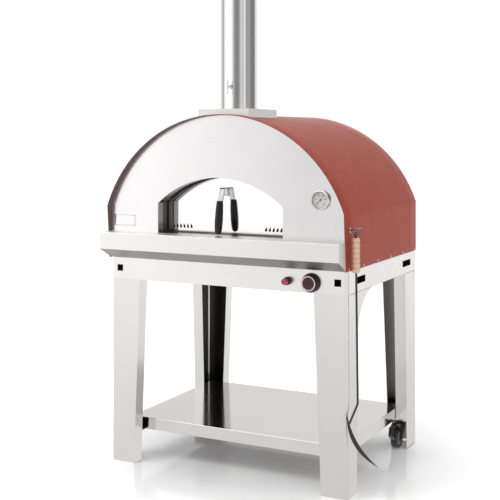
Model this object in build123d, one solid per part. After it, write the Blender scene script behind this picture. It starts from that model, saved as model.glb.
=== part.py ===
from build123d import *
import os
from math import cos, pi, radians, sin, sqrt

# Freestanding domed oven for wood and gas, on a sheet-steel stand.
# Millimetres. X runs along the front, Y from the front to the back, Z up.
# The origin lies on the floor below the centre of the stand.

os.makedirs("parts", exist_ok=True)

# ---------------------------------------------------------------- stand
stand_width = 1070.0
stand_depth = 826.0
rail_bottom = 770.0
rail_top = 860.0
sheet = 2.0                     # folded sheet of the stand and the casing
corner_radius = 14.0            # outside bend at the four upright corners
edge_radius = 3.0               # outside bend of every other fold
rail_end = 20.0                 # how far the end rails wrap round the corner
rail_flange = 42.0
tray_flange = 30.0

leg_flange = 55.0               # inner flange of a leg
leg_return = 50.0               # return along the open side of a leg
plate_thickness = 4.0           # welded plates inside the legs
shelf_seat = 125.0              # height of the plates that the shelf rests on
shelf_top = 174.0
shelf_half_width = 483.0
shelf_front = -333.0
shelf_back = 355.0
shelf_lip = 14.0

slot_bottom = 802.0
slot_top = 829.0

half_width = stand_width / 2
front = -stand_depth / 2
back = stand_depth / 2

# ---------------------------------------------------------------- castors
castor_x = 486.0
castor_y = 335.0
castor_trail = 40.0
wheel_radius = 42.0
wheel_width = 30.0
hub_radius = 26.0
axle_radius = 4.0
running_gap = 0.05              # radial clearance of a shaft in its bore
castor_plate_size = 80.0
castor_bolt_pitch = 64.0
kingpin_radius = 6.0
fork_inner = 18.5
fork_sheet = 2.5
brake_pivot_y = -54.0
brake_pivot_z = 94.0

# ---------------------------------------------------------------- casing
hood_radius = 567.0
hood_centre = 891.0
hood_front = -450.0             # front edge of the hood, from the spring up
hood_setback = 17.0             # how far the edge slants back at its foot
plate_front = -421.0            # outer face of the front plate
plate_foot = 862.0
flange_depth = 18.0

mouth_x = -16.0
mouth_half = 285.0
mouth_floor = 972.0
mouth_apex = 1204.0
mouth_spring = 1094.0
mouth_lip = 36.0                # depth of the lip round the mouth
liner_gap = 0.5

ledge_front = -503.0
ledge_drop = 902.0              # foot of the upright front of the ledge
ledge_foot = 861.0

# ---------------------------------------------------------------- chamber
chamber_half = 405.0
chamber_radius = 470.0
chamber_centre = 860.0
chamber_foot = 932.0
chamber_front = -290.0
chamber_back = 330.0
blanket_thickness = 75.0

tile_left = -398.0
tile_width = 360.0
tile_length = 308.0
tile_gap = 1.5

# ---------------------------------------------------------------- door
door_face = -340.0
door_depth = 23.0
door_gap = 4.5
door_foot = 973.5
door_rim = 20.0
vent_height = 19.0
vents_a_side = 6
vent_level = 989.0              # foot of the vents
vent_start = 172.0              # first vent from the middle of the door
vent_pitch = 17.0

handle_x = -22.0
grip_top = 1110.0
grip_bottom = 975.0
grip_top_out = 58.0             # stand-off of the grip's axis from the door
grip_bottom_out = 74.0
grip_radius = 16.5
strap_width = 22.0
strap_thickness = 3.0
strap_top = 1162.0

# ---------------------------------------------------------------- flue
flue_y = -273.0
flue_radius = 75.0
flue_wall = 1.5
flue_foot = 1446.0
flue_top = 1985.0
collar_half = 116.0
collar_front = -408.0
collar_back = -155.0
collar_top = 1480.0
damper_level = 1571.0
damper_radius = 72.0
spindle_radius = 4.0
cap_radius = 130.0
cap_eave = 2040.0
cap_peak = 2105.0

# ---------------------------------------------------------------- gauge
gauge_x = 429.0
gauge_z = 1128.0
gauge_radius = 37.5
gauge_depth = 14.0
sensor_x = 350.0
sensor_drop = 13.0              # how far the probe slopes down to its tip

# ---------------------------------------------------------------- gas
knob_x = 385.0
knob_z = 810.0
knob_radius = 37.0
knob_front = -443.0
stem_radius = 4.0
igniter_x = 286.0
igniter_z = 811.0
burner_x = 370.0
burner_z = 1003.0
burner_radius = 17.0
burner_half_length = 215.0
inlet_radius = 10.5
pipe_radius = 6.0

# ---------------------------------------------------------------- rake
rake_x = 560.0
rake_y = -396.0
ring_z = 1014.0
ring_radius = 11.0
ring_wire = 1.6
peg_radius = 3.5
peg_length = 48.0
peg_rise = 10.0                 # degrees that the peg points up
rake_lean = 1.9                 # degrees
rod_radius = 4.0
handle_top = 988.0
handle_bottom = 856.0
bead_count = 7
bend_z = 358.0
blade_thickness = 3.0


# ================================================================ helpers
def arch_face(y, half, foot, centre, radius, x=0.0):
    """Upright face: straight sides under an arc."""
    spring = centre + sqrt(radius**2 - half**2)
    left_foot, right_foot = (x - half, y, foot), (x + half, y, foot)
    left, right = (x - half, y, spring), (x + half, y, spring)
    return make_face([
        Line(left_foot, right_foot),
        Line(right_foot, right),
        ThreePointArc(right, (x, y, centre + radius), left),
        Line(left, left_foot),
    ])


def arch(y0, y1, half, foot, centre, radius, x=0.0):
    face = arch_face(y0, half, foot, centre, radius, x)
    return extrude(face, amount=y1 - y0, dir=(0, 1, 0))


def arch_shell(y0, y1, half, foot, centre, radius, wall, x=0.0):
    """Open-ended arched sheet whose outside is given; it has no floor."""
    outside = arch(y0, y1, half, foot, centre, radius, x)
    inside = arch(y0 - 1, y1 + 1, half - wall, foot - 1, centre, radius - wall, x)
    return outside - inside


def block(x0, x1, y0, y1, z0, z1):
    size = (x1 - x0, y1 - y0, z1 - z0)
    return Pos((x0 + x1) / 2, (y0 + y1) / 2, (z0 + z1) / 2) * Box(*size)


def rod(start, end, radius):
    """Round bar between two points."""
    line = Line(start, end)
    return sweep(Plane(line @ 0, z_dir=line % 0) * Circle(radius), path=line)


def tube_path(points, bends, radius):
    """Round bar along straight runs joined by tangent arcs."""
    path = FilletPolyline(*points, radius=bends)
    return sweep(Plane(path @ 0, z_dir=path % 0) * Circle(radius), path=path)


def inset(points, distance):
    """Open polyline moved to its left by a distance, with mitred corners."""
    corners = [Vector(*point) for point in points]
    sides = [(b - a).normalized() for a, b in zip(corners, corners[1:])]
    before, after = [sides[0], *sides], [*sides, sides[-1]]
    moved = []
    for corner, a, b in zip(corners, before, after):
        mitre = Vector(-a.Y - b.Y, a.X + b.X)
        moved.append(corner + mitre * (2 * distance / mitre.length**2))
    return moved


def folded(points, radii, wall=sheet):
    """Section of folded sheet; the points run along its outside."""
    outer = FilletPolyline(*points, radius=list(radii))
    inner_points = inset(points, wall)
    inner = FilletPolyline(*inner_points, radius=[radius - abs(wall) for radius in radii])
    ends = [Line(outer @ 0, inner @ 0), Line(outer @ 1, inner @ 1)]
    return make_face([outer, inner, *ends])


def sharp(points, wall=sheet):
    """Section of sheet with square bends; the points run along its outside."""
    inner = inset(points, wall)
    ends = [Line(points[0], inner[0]), Line(points[-1], inner[-1])]
    return make_face([Polyline(*points), Polyline(*inner), *ends])


def along_x(face, x0, x1):
    """Extrude a section drawn in Y and Z."""
    return extrude(Pos(x0, 0, 0) * (Plane.YZ * face), amount=x1 - x0, dir=(1, 0, 0))


def along_y(face, y0, y1):
    """Extrude a section drawn in X and Z."""
    return extrude(Pos(0, y0, 0) * (Plane.XZ * face), amount=y1 - y0, dir=(0, 1, 0))


def upright(x, y, z0, z1, radius):
    return Pos(x, y, (z0 + z1) / 2) * Cylinder(radius, z1 - z0)


def facing(x, z, y0, y1, radius):
    """Cylinder along Y."""
    return Pos(x, (y0 + y1) / 2, z) * (Rot(90, 0, 0) * Cylinder(radius, abs(y1 - y0)))


def sideways(y, z, x0, x1, radius):
    """Cylinder along X."""
    return Pos((x0 + x1) / 2, y, z) * (Rot(0, 90, 0) * Cylinder(radius, abs(x1 - x0)))


def turned(points, x, y):
    """Solid turned about an upright axis from radius and height points."""
    outline = make_face(Polyline(*[(r, 0, z) for r, z in points], close=True))
    return Pos(x, y, 0) * revolve(outline, Axis.Z)


def turned_front(points, x, z):
    """Solid turned about an axis along Y from radius and depth points."""
    outline = make_face(Polyline(*[(r, y, 0) for r, y in points], close=True))
    return Pos(x, 0, z) * revolve(outline, Axis.Y)


def both_sides(shape):
    return shape, mirror(shape, about=Plane.YZ)


def nut_front(x, z, y0, y1, across):
    """Hexagon along Y."""
    prism = extrude(RegularPolygon(across / 2, 6, major_radius=False), amount=y1 - y0)
    return Pos(x, y1, z) * (Rot(90, 0, 0) * prism)


def hexagon(x, y, z0, z1, across):
    """Hexagonal prism that stands on its end."""
    prism = extrude(RegularPolygon(across / 2, 6, major_radius=False), amount=z1 - z0)
    return Pos(x, y, z0) * prism


def flat_ring(radius, wire, sides=20):
    """Flat-sided ring about the Z axis, of square wire."""
    outer, inner = RegularPolygon(radius + wire, sides), RegularPolygon(radius - wire, sides)
    return Pos(0, 0, -wire) * extrude(outer - inner, amount=2 * wire)


def faceted(points, sides=24):
    """Turned shape with flat facets, from radius and height points, upwards."""
    def rim(radius, z):
        turns = [2 * pi * i / sides for i in range(sides)]
        return [(radius * cos(turn), radius * sin(turn), z) for turn in turns]

    rims = [rim(radius, z) for radius, z in points]
    faces = [make_face(Polyline(*rims[0][::-1], close=True)), make_face(Polyline(*rims[-1], close=True))]
    for low, high in zip(rims, rims[1:]):
        for i in range(sides):
            j = (i + 1) % sides
            faces.append(make_face(Polyline(low[i], low[j], high[j], high[i], close=True)))
    return Solid(Shell(faces))


def save(shape, node):
    export_step(shape, f"parts/{node}.step")
    print(f"{node:22s} {shape.volume / 1000:10.1f} cm3")


# ================================================================ stand
leg_bolt_spots = [(450.0, front + 25), (512.0, front + 78)]
castor_bolt_reach = castor_bolt_pitch / 2
castor_bolt_spots = [
    (dx * castor_bolt_reach, dy * castor_bolt_reach) for dx in (-1, 1) for dy in (-1, 1)]


def end_rail():
    """Front rail with its corners wrapped round; the back one is its mirror."""
    plan = [
        (half_width, front + rail_end), (half_width, front),
        (-half_width, front), (-half_width, front + rail_end),
    ]
    face = folded(plan, (corner_radius, corner_radius), -sheet)
    web = Pos(0, 0, rail_bottom) * extrude(face, amount=rail_top - rail_bottom)
    top = block(-500, 500, front + 1, front + tray_flange, rail_top - sheet, rail_top)
    foot = block(-490, 490, front + 1, front + rail_flange, rail_bottom, rail_bottom + sheet)
    rail = web + top + foot
    x, y = leg_bolt_spots[0]
    for side in (-1, 1):
        rail -= hexagon(side * x, y, rail_bottom - 1, rail_bottom + 5, 8.5)
    return rail


def apron():
    rail = end_rail()
    for side in (-1, 1):
        rail -= block(side * 494 - 14, side * 494 + 14, front - 1, front + 3, slot_bottom, slot_top)
    rail -= facing(knob_x, knob_z, front - 1, front + 3, 5.5)
    rail -= facing(igniter_x, igniter_z, front - 1, front + 3, 11)
    return rail


def rear_rail():
    rail = mirror(end_rail(), about=Plane.XZ)
    return rail - facing(knob_x, 803, back - 5, back + 1, inlet_radius + 1.5)


def side_rail():
    section = [
        (half_width - tray_flange, rail_top), (half_width, rail_top),
        (half_width, rail_bottom), (half_width - rail_flange, rail_bottom),
    ]
    face = folded(section, (edge_radius, edge_radius), -sheet)
    rail = along_y(face, front + rail_end, back - rail_end)
    for y0 in (-335, 227):
        rail -= block(half_width - 3, half_width + 1, y0, y0 + 109, slot_bottom, slot_top)
    x, y = leg_bolt_spots[1]
    for y in (y, -y):
        rail -= hexagon(x, y, rail_bottom - 1, rail_bottom + 5, 8.5)
    return rail


def leg_prism(foot, main, side, wall):
    """Right-hand front leg as a solid prism, wall inside its outer faces."""
    low, high = (foot, rail_bottom) if wall == 0 else (foot - 10, rail_bottom + 10)
    slope_x = (main[1] - main[0]) / (rail_bottom - foot)
    slope_y = (side[1] - side[0]) / (rail_bottom - foot)

    def reach(start, slope, z):
        return start + slope * (z - foot) - wall

    edge = half_width - wall
    main_face = make_face(Polyline(
        (edge, low), (edge, high), (half_width - reach(main[0], slope_x, high), high),
        (half_width - reach(main[0], slope_x, low), low), close=True))
    lip = front + wall
    side_face = make_face(Polyline(
        (lip, low), (lip, high), (front + reach(side[0], slope_y, high), high),
        (front + reach(side[0], slope_y, low), low), close=True))
    prism = along_y(main_face, front + wall, front + 200) & along_x(side_face, 300, edge)
    corner = prism.edges().filter_by(Axis.Z).sort_by(Axis.X)[-2:].sort_by(Axis.Y)[0]
    return fillet(corner, corner_radius - wall)


def leg(foot, main, side):
    """Folded leg, open to the middle; main and side are its widths, foot and top."""
    shape = leg_prism(foot, main, side, 0) - leg_prism(foot, main, side, sheet)
    shape -= block(300, half_width - leg_return, front + leg_flange, front + 210,
                   foot - 1, rail_bottom + 1)
    level = (shelf_seat - foot) / (rail_bottom - foot)
    main_there = main[0] + (main[1] - main[0]) * level
    side_there = side[0] + (side[1] - side[0]) * level
    seat = block(half_width - main_there + 1, half_width - 1, front + 1, front + side_there - 3,
                 shelf_seat - plate_thickness, shelf_seat)
    top = block(half_width - main[1] + 1, half_width - 1, front + 1, front + side[1] - 1,
                rail_bottom - 3, rail_bottom)
    for plate in (seat, top):
        corner = plate.edges().filter_by(Axis.Z).sort_by(Axis.X)[-2:].sort_by(Axis.Y)[0]
        shape += chamfer(corner, 6)
    for x, y in leg_bolt_spots:
        shape -= hexagon(x, y, rail_bottom - 6, rail_bottom + 1, 8.5)
    return shape


def front_leg():
    shape = leg(0.0, (110, 140), (94, 113))
    # the side face spreads into a curved gusset under the rail
    start, middle, end = (front + 262, 768), (front + 158, 719), (front + 112, 640)
    edge = ThreePointArc(start, middle, end)
    outline = [
        edge, Line(end, (front + 100, 640)),
        Line((front + 100, 640), (front + 100, 770)),
        Line((front + 100, 770), (front + 262, 770)),
        Line((front + 262, 770), start),
    ]
    return shape + along_x(make_face(outline), half_width - sheet, half_width)


def rear_leg():
    shape = mirror(leg(5.0, (110, 140), (122, 154)), about=Plane.XZ)
    # below the shelf the leg is open, so that the castor can swing
    open_top = shelf_seat - plate_thickness
    shape -= block(400, half_width - 3, 270, back - 30, 0, open_top)
    shape -= block(400, half_width - 109, back - 60, back - 3, 0, open_top)
    for x, y in castor_bolt_spots:
        shape -= hexagon(castor_x + x, castor_y + y, 100, 140, 6.5)
    return shape


def shelf():
    """Shallow inverted tray with a lip turned in along its foot."""
    outer = block(-shelf_half_width, shelf_half_width, shelf_front, shelf_back, shelf_seat, shelf_top)
    outer = chamfer(outer.edges().filter_by(Axis.Z), 5)
    outer = chamfer(outer.faces().sort_by(Axis.Z)[-1].edges(), 1.5)
    hollow = block(
        -shelf_half_width + sheet, shelf_half_width - sheet,
        shelf_front + sheet, shelf_back - sheet,
        shelf_seat + sheet, shelf_top - sheet)
    mouth = block(
        -shelf_half_width + shelf_lip, shelf_half_width - shelf_lip,
        shelf_front + shelf_lip, shelf_back - shelf_lip,
        shelf_seat - 1, shelf_seat + 5)
    return outer - hollow - mouth


def bolt(x, y, head_low, grip, across_shank, across):
    """Bolt with its head below and a nut above what it clamps."""
    head_top = head_low + 0.65 * across_shank
    clamp_top = head_top + grip
    nut_top = clamp_top + 0.8 * across_shank
    shank = hexagon(x, y, head_low, nut_top + 0.2 * across_shank, across_shank)
    head = hexagon(x, y, head_low, head_top, across)
    return shank + head + hexagon(x, y, clamp_top, nut_top, across)


def stand_bolts():
    """Bolts that clamp the legs to the rails and the castors to the legs."""
    bolts = []
    leg_clamp = 3 + sheet
    castor_clamp = 2 * plate_thickness
    for side in (-1, 1):
        for end in (-1, 1):
            for x, y in leg_bolt_spots:
                bolts.append(bolt(side * x, -end * y, rail_bottom - 3 - 5.2, leg_clamp, 8, 13))
        for x, y in castor_bolt_spots:
            bolts.append(bolt(
                side * (castor_x + x), castor_y + y, shelf_seat - castor_clamp - 3.9,
                castor_clamp, 6, 10))
    return Compound(children=bolts)


# ================================================================ castors
plate_low = shelf_seat - 2 * plate_thickness
race_low = plate_low - 9
head_high = race_low - 0.3
head_low = head_high - 8


def castor_plate():
    """Fixed plate, upper half of the swivel race and the kingpin."""
    half = castor_plate_size / 2
    plate = block(-half, half, -half, half, plate_low, plate_low + plate_thickness)
    plate = chamfer(plate.edges().filter_by(Axis.Z), 7)
    race = upright(0, 0, race_low, plate_low, 24)
    pin = upright(0, 0, head_low - 6, race_low, kingpin_radius)
    head = Pos(0, 0, head_low - 9) * extrude(RegularPolygon(9, 6), amount=4)
    shape = plate + race + pin + head
    for x, y in castor_bolt_spots:
        shape -= hexagon(x, y, 100, 140, 6.5)
    return shape


def castor_fork():
    """Swivel head and two cheeks that reach forward to the axle."""
    head = upright(0, 0, head_low, head_high, 25)
    y, z = -castor_trail, wheel_radius
    cheek = make_face(Polyline(
        (21, head_low), (-25, head_low), (y - 14, z + 2), (y - 11, z - 9), (y, z - 14),
        (y + 10, z - 10), (21, head_low - 8), close=True))
    # ears that carry the pivot pin of the brake pedal
    ear = make_face(Polyline(
        (brake_pivot_y - 7, brake_pivot_z - 6), (brake_pivot_y - 7, head_low),
        (-20, head_low), (-20, 76), (-44, 76), close=True))
    sides = along_x(cheek, fork_inner, fork_inner + fork_sheet)
    sides += along_x(ear, fork_inner, fork_inner + fork_sheet)
    bridge = block(-fork_inner - 1, fork_inner + 1, -25, 21, head_low - 3, head_low)
    fork = head + bridge + sides + mirror(sides, about=Plane.YZ)
    fork -= Pos(0, 0, head_low - 12) * extrude(RegularPolygon(11, 6), amount=12)
    fork -= upright(0, 0, head_low - 1, head_high + 1, kingpin_radius + running_gap)
    reach = fork_inner + fork_sheet
    fork += sideways(-castor_trail, wheel_radius, -reach, reach, axle_radius)
    nut = extrude(RegularPolygon(6.5, 6, major_radius=False), amount=5)
    for side in (-1, 1):
        x = side * (reach + 2)
        fork += Pos(x - 2.5, -castor_trail, wheel_radius) * (Rot(0, 90, 0) * nut)
    fork += sideways(brake_pivot_y, brake_pivot_z, -fork_inner - 1, fork_inner + 1, 3)
    return fork


def castor_hub():
    """Moulded wheel centre with six pockets between spokes on each face."""
    half = wheel_width / 2 - 1
    hub = Cylinder(hub_radius - 0.05, 2 * half)
    pocket = make_face(Polyline((11, 2.4), (20, 7.4), (22, 0), (20, -7.4), (11, -2.4), close=True))
    for i in range(6):
        hub -= Rot(0, 0, 60 * i) * (Pos(0, 0, 4) * extrude(pocket, amount=half))
        hub -= Rot(0, 0, 60 * i) * (Pos(0, 0, -4 - half) * extrude(pocket, amount=half))
    hub -= Cylinder(axle_radius + running_gap, 2 * half + 4)
    return Pos(0, -castor_trail, wheel_radius) * (Rot(0, 90, 0) * hub)


def castor_tread():
    half = wheel_width / 2
    tyre = turned([
        (hub_radius, -half), (wheel_radius, -half), (wheel_radius, half), (hub_radius, half),
    ], 0, 0)
    return Pos(0, -castor_trail, wheel_radius) * (Rot(0, 90, 0) * tyre)


def castor_brake():
    """Foot pedal bent from one strap, turning on the pin between the ears."""
    points = [
        (brake_pivot_y, brake_pivot_z + 6), (-110, 105), (-125, 70), (-97, 49),
    ]
    strap = along_x(sharp(points, -3), -11, 11)
    sleeve = sideways(brake_pivot_y, brake_pivot_z, -11, 11, 6.2)
    bore = sideways(brake_pivot_y, brake_pivot_z, -12, 12, 3 + running_gap)
    return strap + sleeve - bore


# ================================================================ casing
def hood():
    """Arched cover whose front edge stands proud and slants back at its foot."""
    shape = arch_shell(hood_front, back, half_width, rail_top, hood_centre, hood_radius, sheet)
    spring = hood_centre + sqrt(hood_radius**2 - half_width**2)
    wedge = make_face(Polyline(
        (hood_front - 1, rail_top - 1), (hood_front + hood_setback, rail_top - 1),
        (hood_front + hood_setback, rail_top), (hood_front, spring), (hood_front - 1, spring),
        close=True))
    shape -= along_x(wedge, -half_width - 5, half_width + 5)
    return shape - upright(0, flue_y, 1300, 1600, flue_radius + 1.5)


mouth_rise = mouth_apex - mouth_spring
mouth_radius = (mouth_half**2 + mouth_rise**2) / (2 * mouth_rise)
mouth_centre = mouth_apex - mouth_radius
inner_half = half_width - sheet - 0.5
inner_radius = hood_radius - sheet - 0.5


def front_plate():
    """Front plate with a flange into the hood and a lip round the mouth."""
    y0 = plate_front
    y1 = plate_front + sheet
    plate = arch(y0, y1, inner_half, plate_foot, hood_centre, inner_radius)
    rim = arch_shell(y1 - 1, y1 + flange_depth, inner_half, 890, hood_centre, inner_radius, sheet)
    lip = arch(y0, y0 + mouth_lip, mouth_half + sheet, mouth_floor - sheet, mouth_centre,
               mouth_radius + sheet, mouth_x)
    opening = arch(y0 - 1, y0 + mouth_lip + 1, mouth_half, mouth_floor, mouth_centre,
                   mouth_radius, mouth_x)
    shape = plate + rim + lip - opening
    shape = shape - facing(gauge_x, gauge_z, y0 - 1, y1 + 1, 7.25)
    return shape


def back_panel():
    plate = arch(back - sheet, back, inner_half, plate_foot, hood_centre, inner_radius)
    rim = arch_shell(back - flange_depth, back - 1, inner_half, 890, hood_centre, inner_radius, sheet)
    return plate + rim


def ledge():
    """Folded shelf in front of the mouth, closed by a plate at each end."""
    points = [
        (plate_front, mouth_floor), (ledge_front, mouth_floor),
        (ledge_front, ledge_drop), (plate_front - 2, ledge_foot),
    ]
    skin = along_x(folded(points, (edge_radius, edge_radius), sheet), -half_width, half_width)
    side = make_face(Polyline(*points, (plate_front - 0.5, ledge_foot), close=True))
    end = along_x(side, half_width - sheet, half_width)
    shape = skin + end + mirror(end, about=Plane.YZ)
    # the hood's sides pass outside the ledge, behind their slanted front edge
    slope = hood_setback / (hood_centre + sqrt(hood_radius**2 - half_width**2) - rail_top)
    foot_y = hood_front + hood_setback - 0.6
    high_y = foot_y - slope * (mouth_floor + 10 - rail_top)
    notch = make_face(Polyline(
        (foot_y, rail_top - 5), (plate_front + 5, rail_top - 5),
        (plate_front + 5, mouth_floor + 10), (high_y, mouth_floor + 10), close=True))
    cut = along_x(notch, half_width - sheet - 0.5, half_width + 5)
    return shape - cut - mirror(cut, about=Plane.YZ)


def name_plate():
    """Bare plate on the left of the front."""
    plate = block(-517, -411, plate_front - 1.5, plate_front, 994, 1043)
    return fillet(plate.edges().filter_by(Axis.Y), 3)


def base_tray():
    """Tray that carries the floor and gives the hood's screws their flange."""
    outer = block(-half_width + sheet, half_width - sheet, plate_front + sheet, back - sheet,
                  rail_top, rail_top + 28)
    inner = block(-half_width + 2 * sheet, half_width - 2 * sheet,
                  plate_front + 2 * sheet, back - 2 * sheet, rail_top + sheet, rail_top + 40)
    tray = outer - inner
    return tray - upright(burner_x, -burner_half_length, rail_top - 1, rail_top + 5, 7.5)


# ================================================================ chamber
def base_insulation():
    board = block(-chamber_half, chamber_half, chamber_front + 2, chamber_back,
                  rail_top + sheet, chamber_foot)
    return board - upright(burner_x, -burner_half_length, 850, 940, 7.5)


def floor_tile(column, row):
    x0 = tile_left + column * (tile_width + tile_gap)
    y0 = chamber_front + 2 + row * (tile_length + tile_gap)
    tile = block(x0, x0 + tile_width, y0, y0 + tile_length, chamber_foot, mouth_floor)
    return chamfer(tile.faces().sort_by(Axis.Z)[-1].edges(), 1.5)


def smoke_gap():
    return block(-105, 105, chamber_front + 4, -190, 1200, 1400)


def chamber_vault():
    shell = arch_shell(chamber_front, chamber_back, chamber_half + sheet, chamber_foot,
                       chamber_centre, chamber_radius + sheet, sheet)
    return shell - smoke_gap()


def chamber_rear_wall():
    return arch(chamber_back, chamber_back + sheet, chamber_half + sheet, chamber_foot,
                chamber_centre, chamber_radius + sheet)


def insulation_blanket():
    """Fibre blanket over the vault and behind its rear wall."""
    reach = sheet + blanket_thickness
    outer = arch(chamber_front, chamber_back + 60, chamber_half + reach, rail_top + 30,
                 chamber_centre, chamber_radius + reach)
    void = arch(chamber_front - 1, chamber_back + sheet + 0.5, chamber_half + sheet + 0.5,
                rail_top + 20, chamber_centre, chamber_radius + sheet + 0.5)
    return outer - void - block(-118, 118, chamber_front - 1, -178, 1200, 1500)


def throat_liner():
    """Arched passage behind the mouth, its door stop and the chamber's front wall."""
    clear = mouth_half + sheet + liner_gap
    arc = mouth_radius + sheet + liner_gap
    walls = arch_shell(plate_front + 9, chamber_front, clear + sheet, mouth_floor - sheet,
                       mouth_centre, arc + sheet, sheet, mouth_x)
    floor = block(mouth_x - clear - 1, mouth_x + clear + 1, plate_front + mouth_lip + liner_gap,
                  chamber_front, mouth_floor - sheet, mouth_floor)
    wall = arch(chamber_front - sheet, chamber_front, chamber_half + sheet, chamber_foot,
                chamber_centre, chamber_radius + sheet)
    wall -= arch(chamber_front - 5, chamber_front + 5, clear, mouth_floor - sheet, mouth_centre,
                 arc, mouth_x)
    stop_y = door_face + door_depth + 1
    wall -= rod(probe_start, probe_end, 3.5)
    stop = arch_shell(stop_y, stop_y + sheet, clear + 1, mouth_floor - 1, mouth_centre,
                      arc + 1, 14, mouth_x)
    return walls + floor + wall + stop


# ================================================================ door
def vent(lean):
    """One flame-shaped vent: a broad foot drawn up to a leaning tip."""
    outline = [
        (-0.13, 0), (0.13, 0), (0.25, 0.15), (0.27, 0.36), (0.21, 1), (-0.08, 0.66),
        (-0.24, 0.36), (-0.25, 0.15),
    ]
    points = [(lean * x * vent_height, z * vent_height) for x, z in outline]
    return make_face(Polyline(*points, close=True))


def vents(y0, y1):
    cuts = []
    for side in (-1, 1):
        for i in range(vents_a_side):
            x = mouth_x + side * (vent_start + vent_pitch * i)
            flame = Pos(x, vent_level) * vent(side)
            cuts.append(along_y(flame, y0, y1))
    return cuts


door_half = mouth_half + sheet + liner_gap - door_gap
door_radius = mouth_radius + sheet + liner_gap - door_gap


def door_panel():
    """Polished front with a folded rim."""
    outer = arch(door_face, door_face + door_rim, door_half, door_foot, mouth_centre,
                 door_radius, mouth_x)
    hollow = arch(door_face + sheet, door_face + door_rim + 1, door_half - sheet,
                  door_foot + sheet, mouth_centre, door_radius - sheet, mouth_x)
    panel = outer - hollow
    for cut in vents(door_face - 1, door_face + 3):
        panel -= cut
    return panel


def door_core():
    """Insulated filling with the inner skin behind it."""
    fill = arch(door_face + sheet, door_face + door_rim, door_half - sheet - 0.3,
                door_foot + sheet + 0.3, mouth_centre, door_radius - sheet - 0.3, mouth_x)
    skin = arch(door_face + door_rim, door_face + door_depth, door_half - 4, door_foot + 1,
                mouth_centre, door_radius - 4, mouth_x)
    core = fill + skin
    for side in (-1, 1):
        x0, x1 = sorted((mouth_x + side * 160, mouth_x + side * 268))
        core -= block(x0, x1, door_face, door_face + door_depth + 1, vent_level - 4, vent_level + 26)
    return core


def door_bracket():
    """Bent strap that carries the grip clear of the hot door."""
    y0 = door_face
    points = [
        (y0, 1128), (y0, strap_top), (y0 - 36, strap_top), (y0 - 55, grip_top - 6),
        (y0 - 59, grip_top - 34),
    ]
    section = folded(points, (4, 7, 20), strap_thickness)
    strap = along_x(Pos(-strap_thickness, 0) * section, handle_x - strap_width / 2,
                    handle_x + strap_width / 2)
    return strap


def grip_axis():
    top = Vector(handle_x, door_face - grip_top_out, grip_top)
    low = Vector(handle_x, door_face - grip_bottom_out, grip_bottom)
    return top, low


def door_grip():
    """Moulded grip: a slim shoulder that swells and tapers to a round end."""
    top, low = grip_axis()
    length = (low - top).length
    profile = [
        (12.3, 0), (15.2, 0.22), (grip_radius, 0.5), (15.6, 0.78), (9.5, 1),
    ]
    solid = faceted([(radius, along * length) for radius, along in profile])
    place = Plane(origin=top, x_dir=(1, 0, 0), z_dir=low - top)
    return place * solid - door_bracket()


# ================================================================ flue
def flue_collar():
    """Box on the crest, cut to the hood's curve, with a neck ring."""
    outer = block(-collar_half, collar_half, collar_front, collar_back, 1400, collar_top)
    outer = chamfer(outer.edges().filter_by(Axis.Z), 3)
    inner = block(-collar_half + sheet, collar_half - sheet, collar_front + sheet,
                  collar_back - sheet, 1390, collar_top - sheet)
    ring = upright(0, flue_y, collar_top - 1, collar_top + 4, flue_radius + 3.5)
    under = arch(collar_front - 5, collar_back + 5, half_width, 1000, hood_centre, hood_radius)
    return outer - inner + ring - under - upright(0, flue_y, 1300, 1600, flue_radius + 0.3)


def smoke_duct():
    """Four flat sides that rise from the vault to a round spigot for the flue."""
    spigot_radius = flue_radius - flue_wall - 0.7
    foot_y = (chamber_front + 2 - 187) / 2
    crown = 2 * flue_radius + 6

    def passage(shrink, shoulder, top):
        low, high, wide = 108 - shrink, crown / 2 - shrink, crown / 2 - shrink
        front_face = make_face(Polyline(
            (-low, 1295), (low, 1295), (wide, shoulder), (-wide, shoulder), close=True))
        deep = 50.5 - shrink
        side_face = make_face(Polyline(
            (foot_y - deep, 1295), (foot_y + deep, 1295), (flue_y + high, shoulder),
            (flue_y - high, shoulder), close=True))
        funnel = along_y(front_face, -400, -100) & along_x(side_face, -150, 150)
        return funnel + upright(0, flue_y, shoulder - 5, top, spigot_radius - shrink)

    seat = arch(chamber_front - 50, 0, chamber_half + sheet, 1000, chamber_centre,
                chamber_radius + sheet)
    inside = passage(flue_wall, 1420 - flue_wall, 1510)
    return passage(0, 1420, 1500) - inside - seat


def flue_pipe():
    pipe = upright(0, flue_y, flue_foot, flue_top, flue_radius)
    pipe -= upright(0, flue_y, flue_foot - 1, flue_top + 1, flue_radius - flue_wall)
    for side in (-1, 1):
        y = flue_y + side * flue_radius
        pipe -= facing(0, damper_level, y - 5, y + 5, spindle_radius + running_gap)
    return pipe


def damper_plate():
    """Butterfly plate on a rolled sleeve; it stands upright when open."""
    disc = sideways(flue_y, damper_level, -1, 1, damper_radius)
    sleeve = facing(0, damper_level, flue_y - 60, flue_y + 60, spindle_radius + 1.5)
    return disc + sleeve - facing(0, damper_level, flue_y - 90, flue_y + 90, spindle_radius)


def damper_spindle():
    """Spindle through the flue, with a wing outside to turn it by."""
    front_end = flue_y - flue_radius - 30
    shaft = facing(0, damper_level, front_end, flue_y + flue_radius + 6, spindle_radius)
    boss = nut_front(0, damper_level, flue_y - flue_radius - 12, flue_y - flue_radius - 3, 16)
    wing = block(-2.5, 2.5, front_end - 2, front_end + 6, damper_level - 31, damper_level + 31)
    wing = chamfer(wing.edges().filter_by(Axis.X), 2.5)
    nut = nut_front(0, damper_level, flue_y + flue_radius + 1, flue_y + flue_radius + 5, 13)
    return shaft + boss + wing + nut


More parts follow.
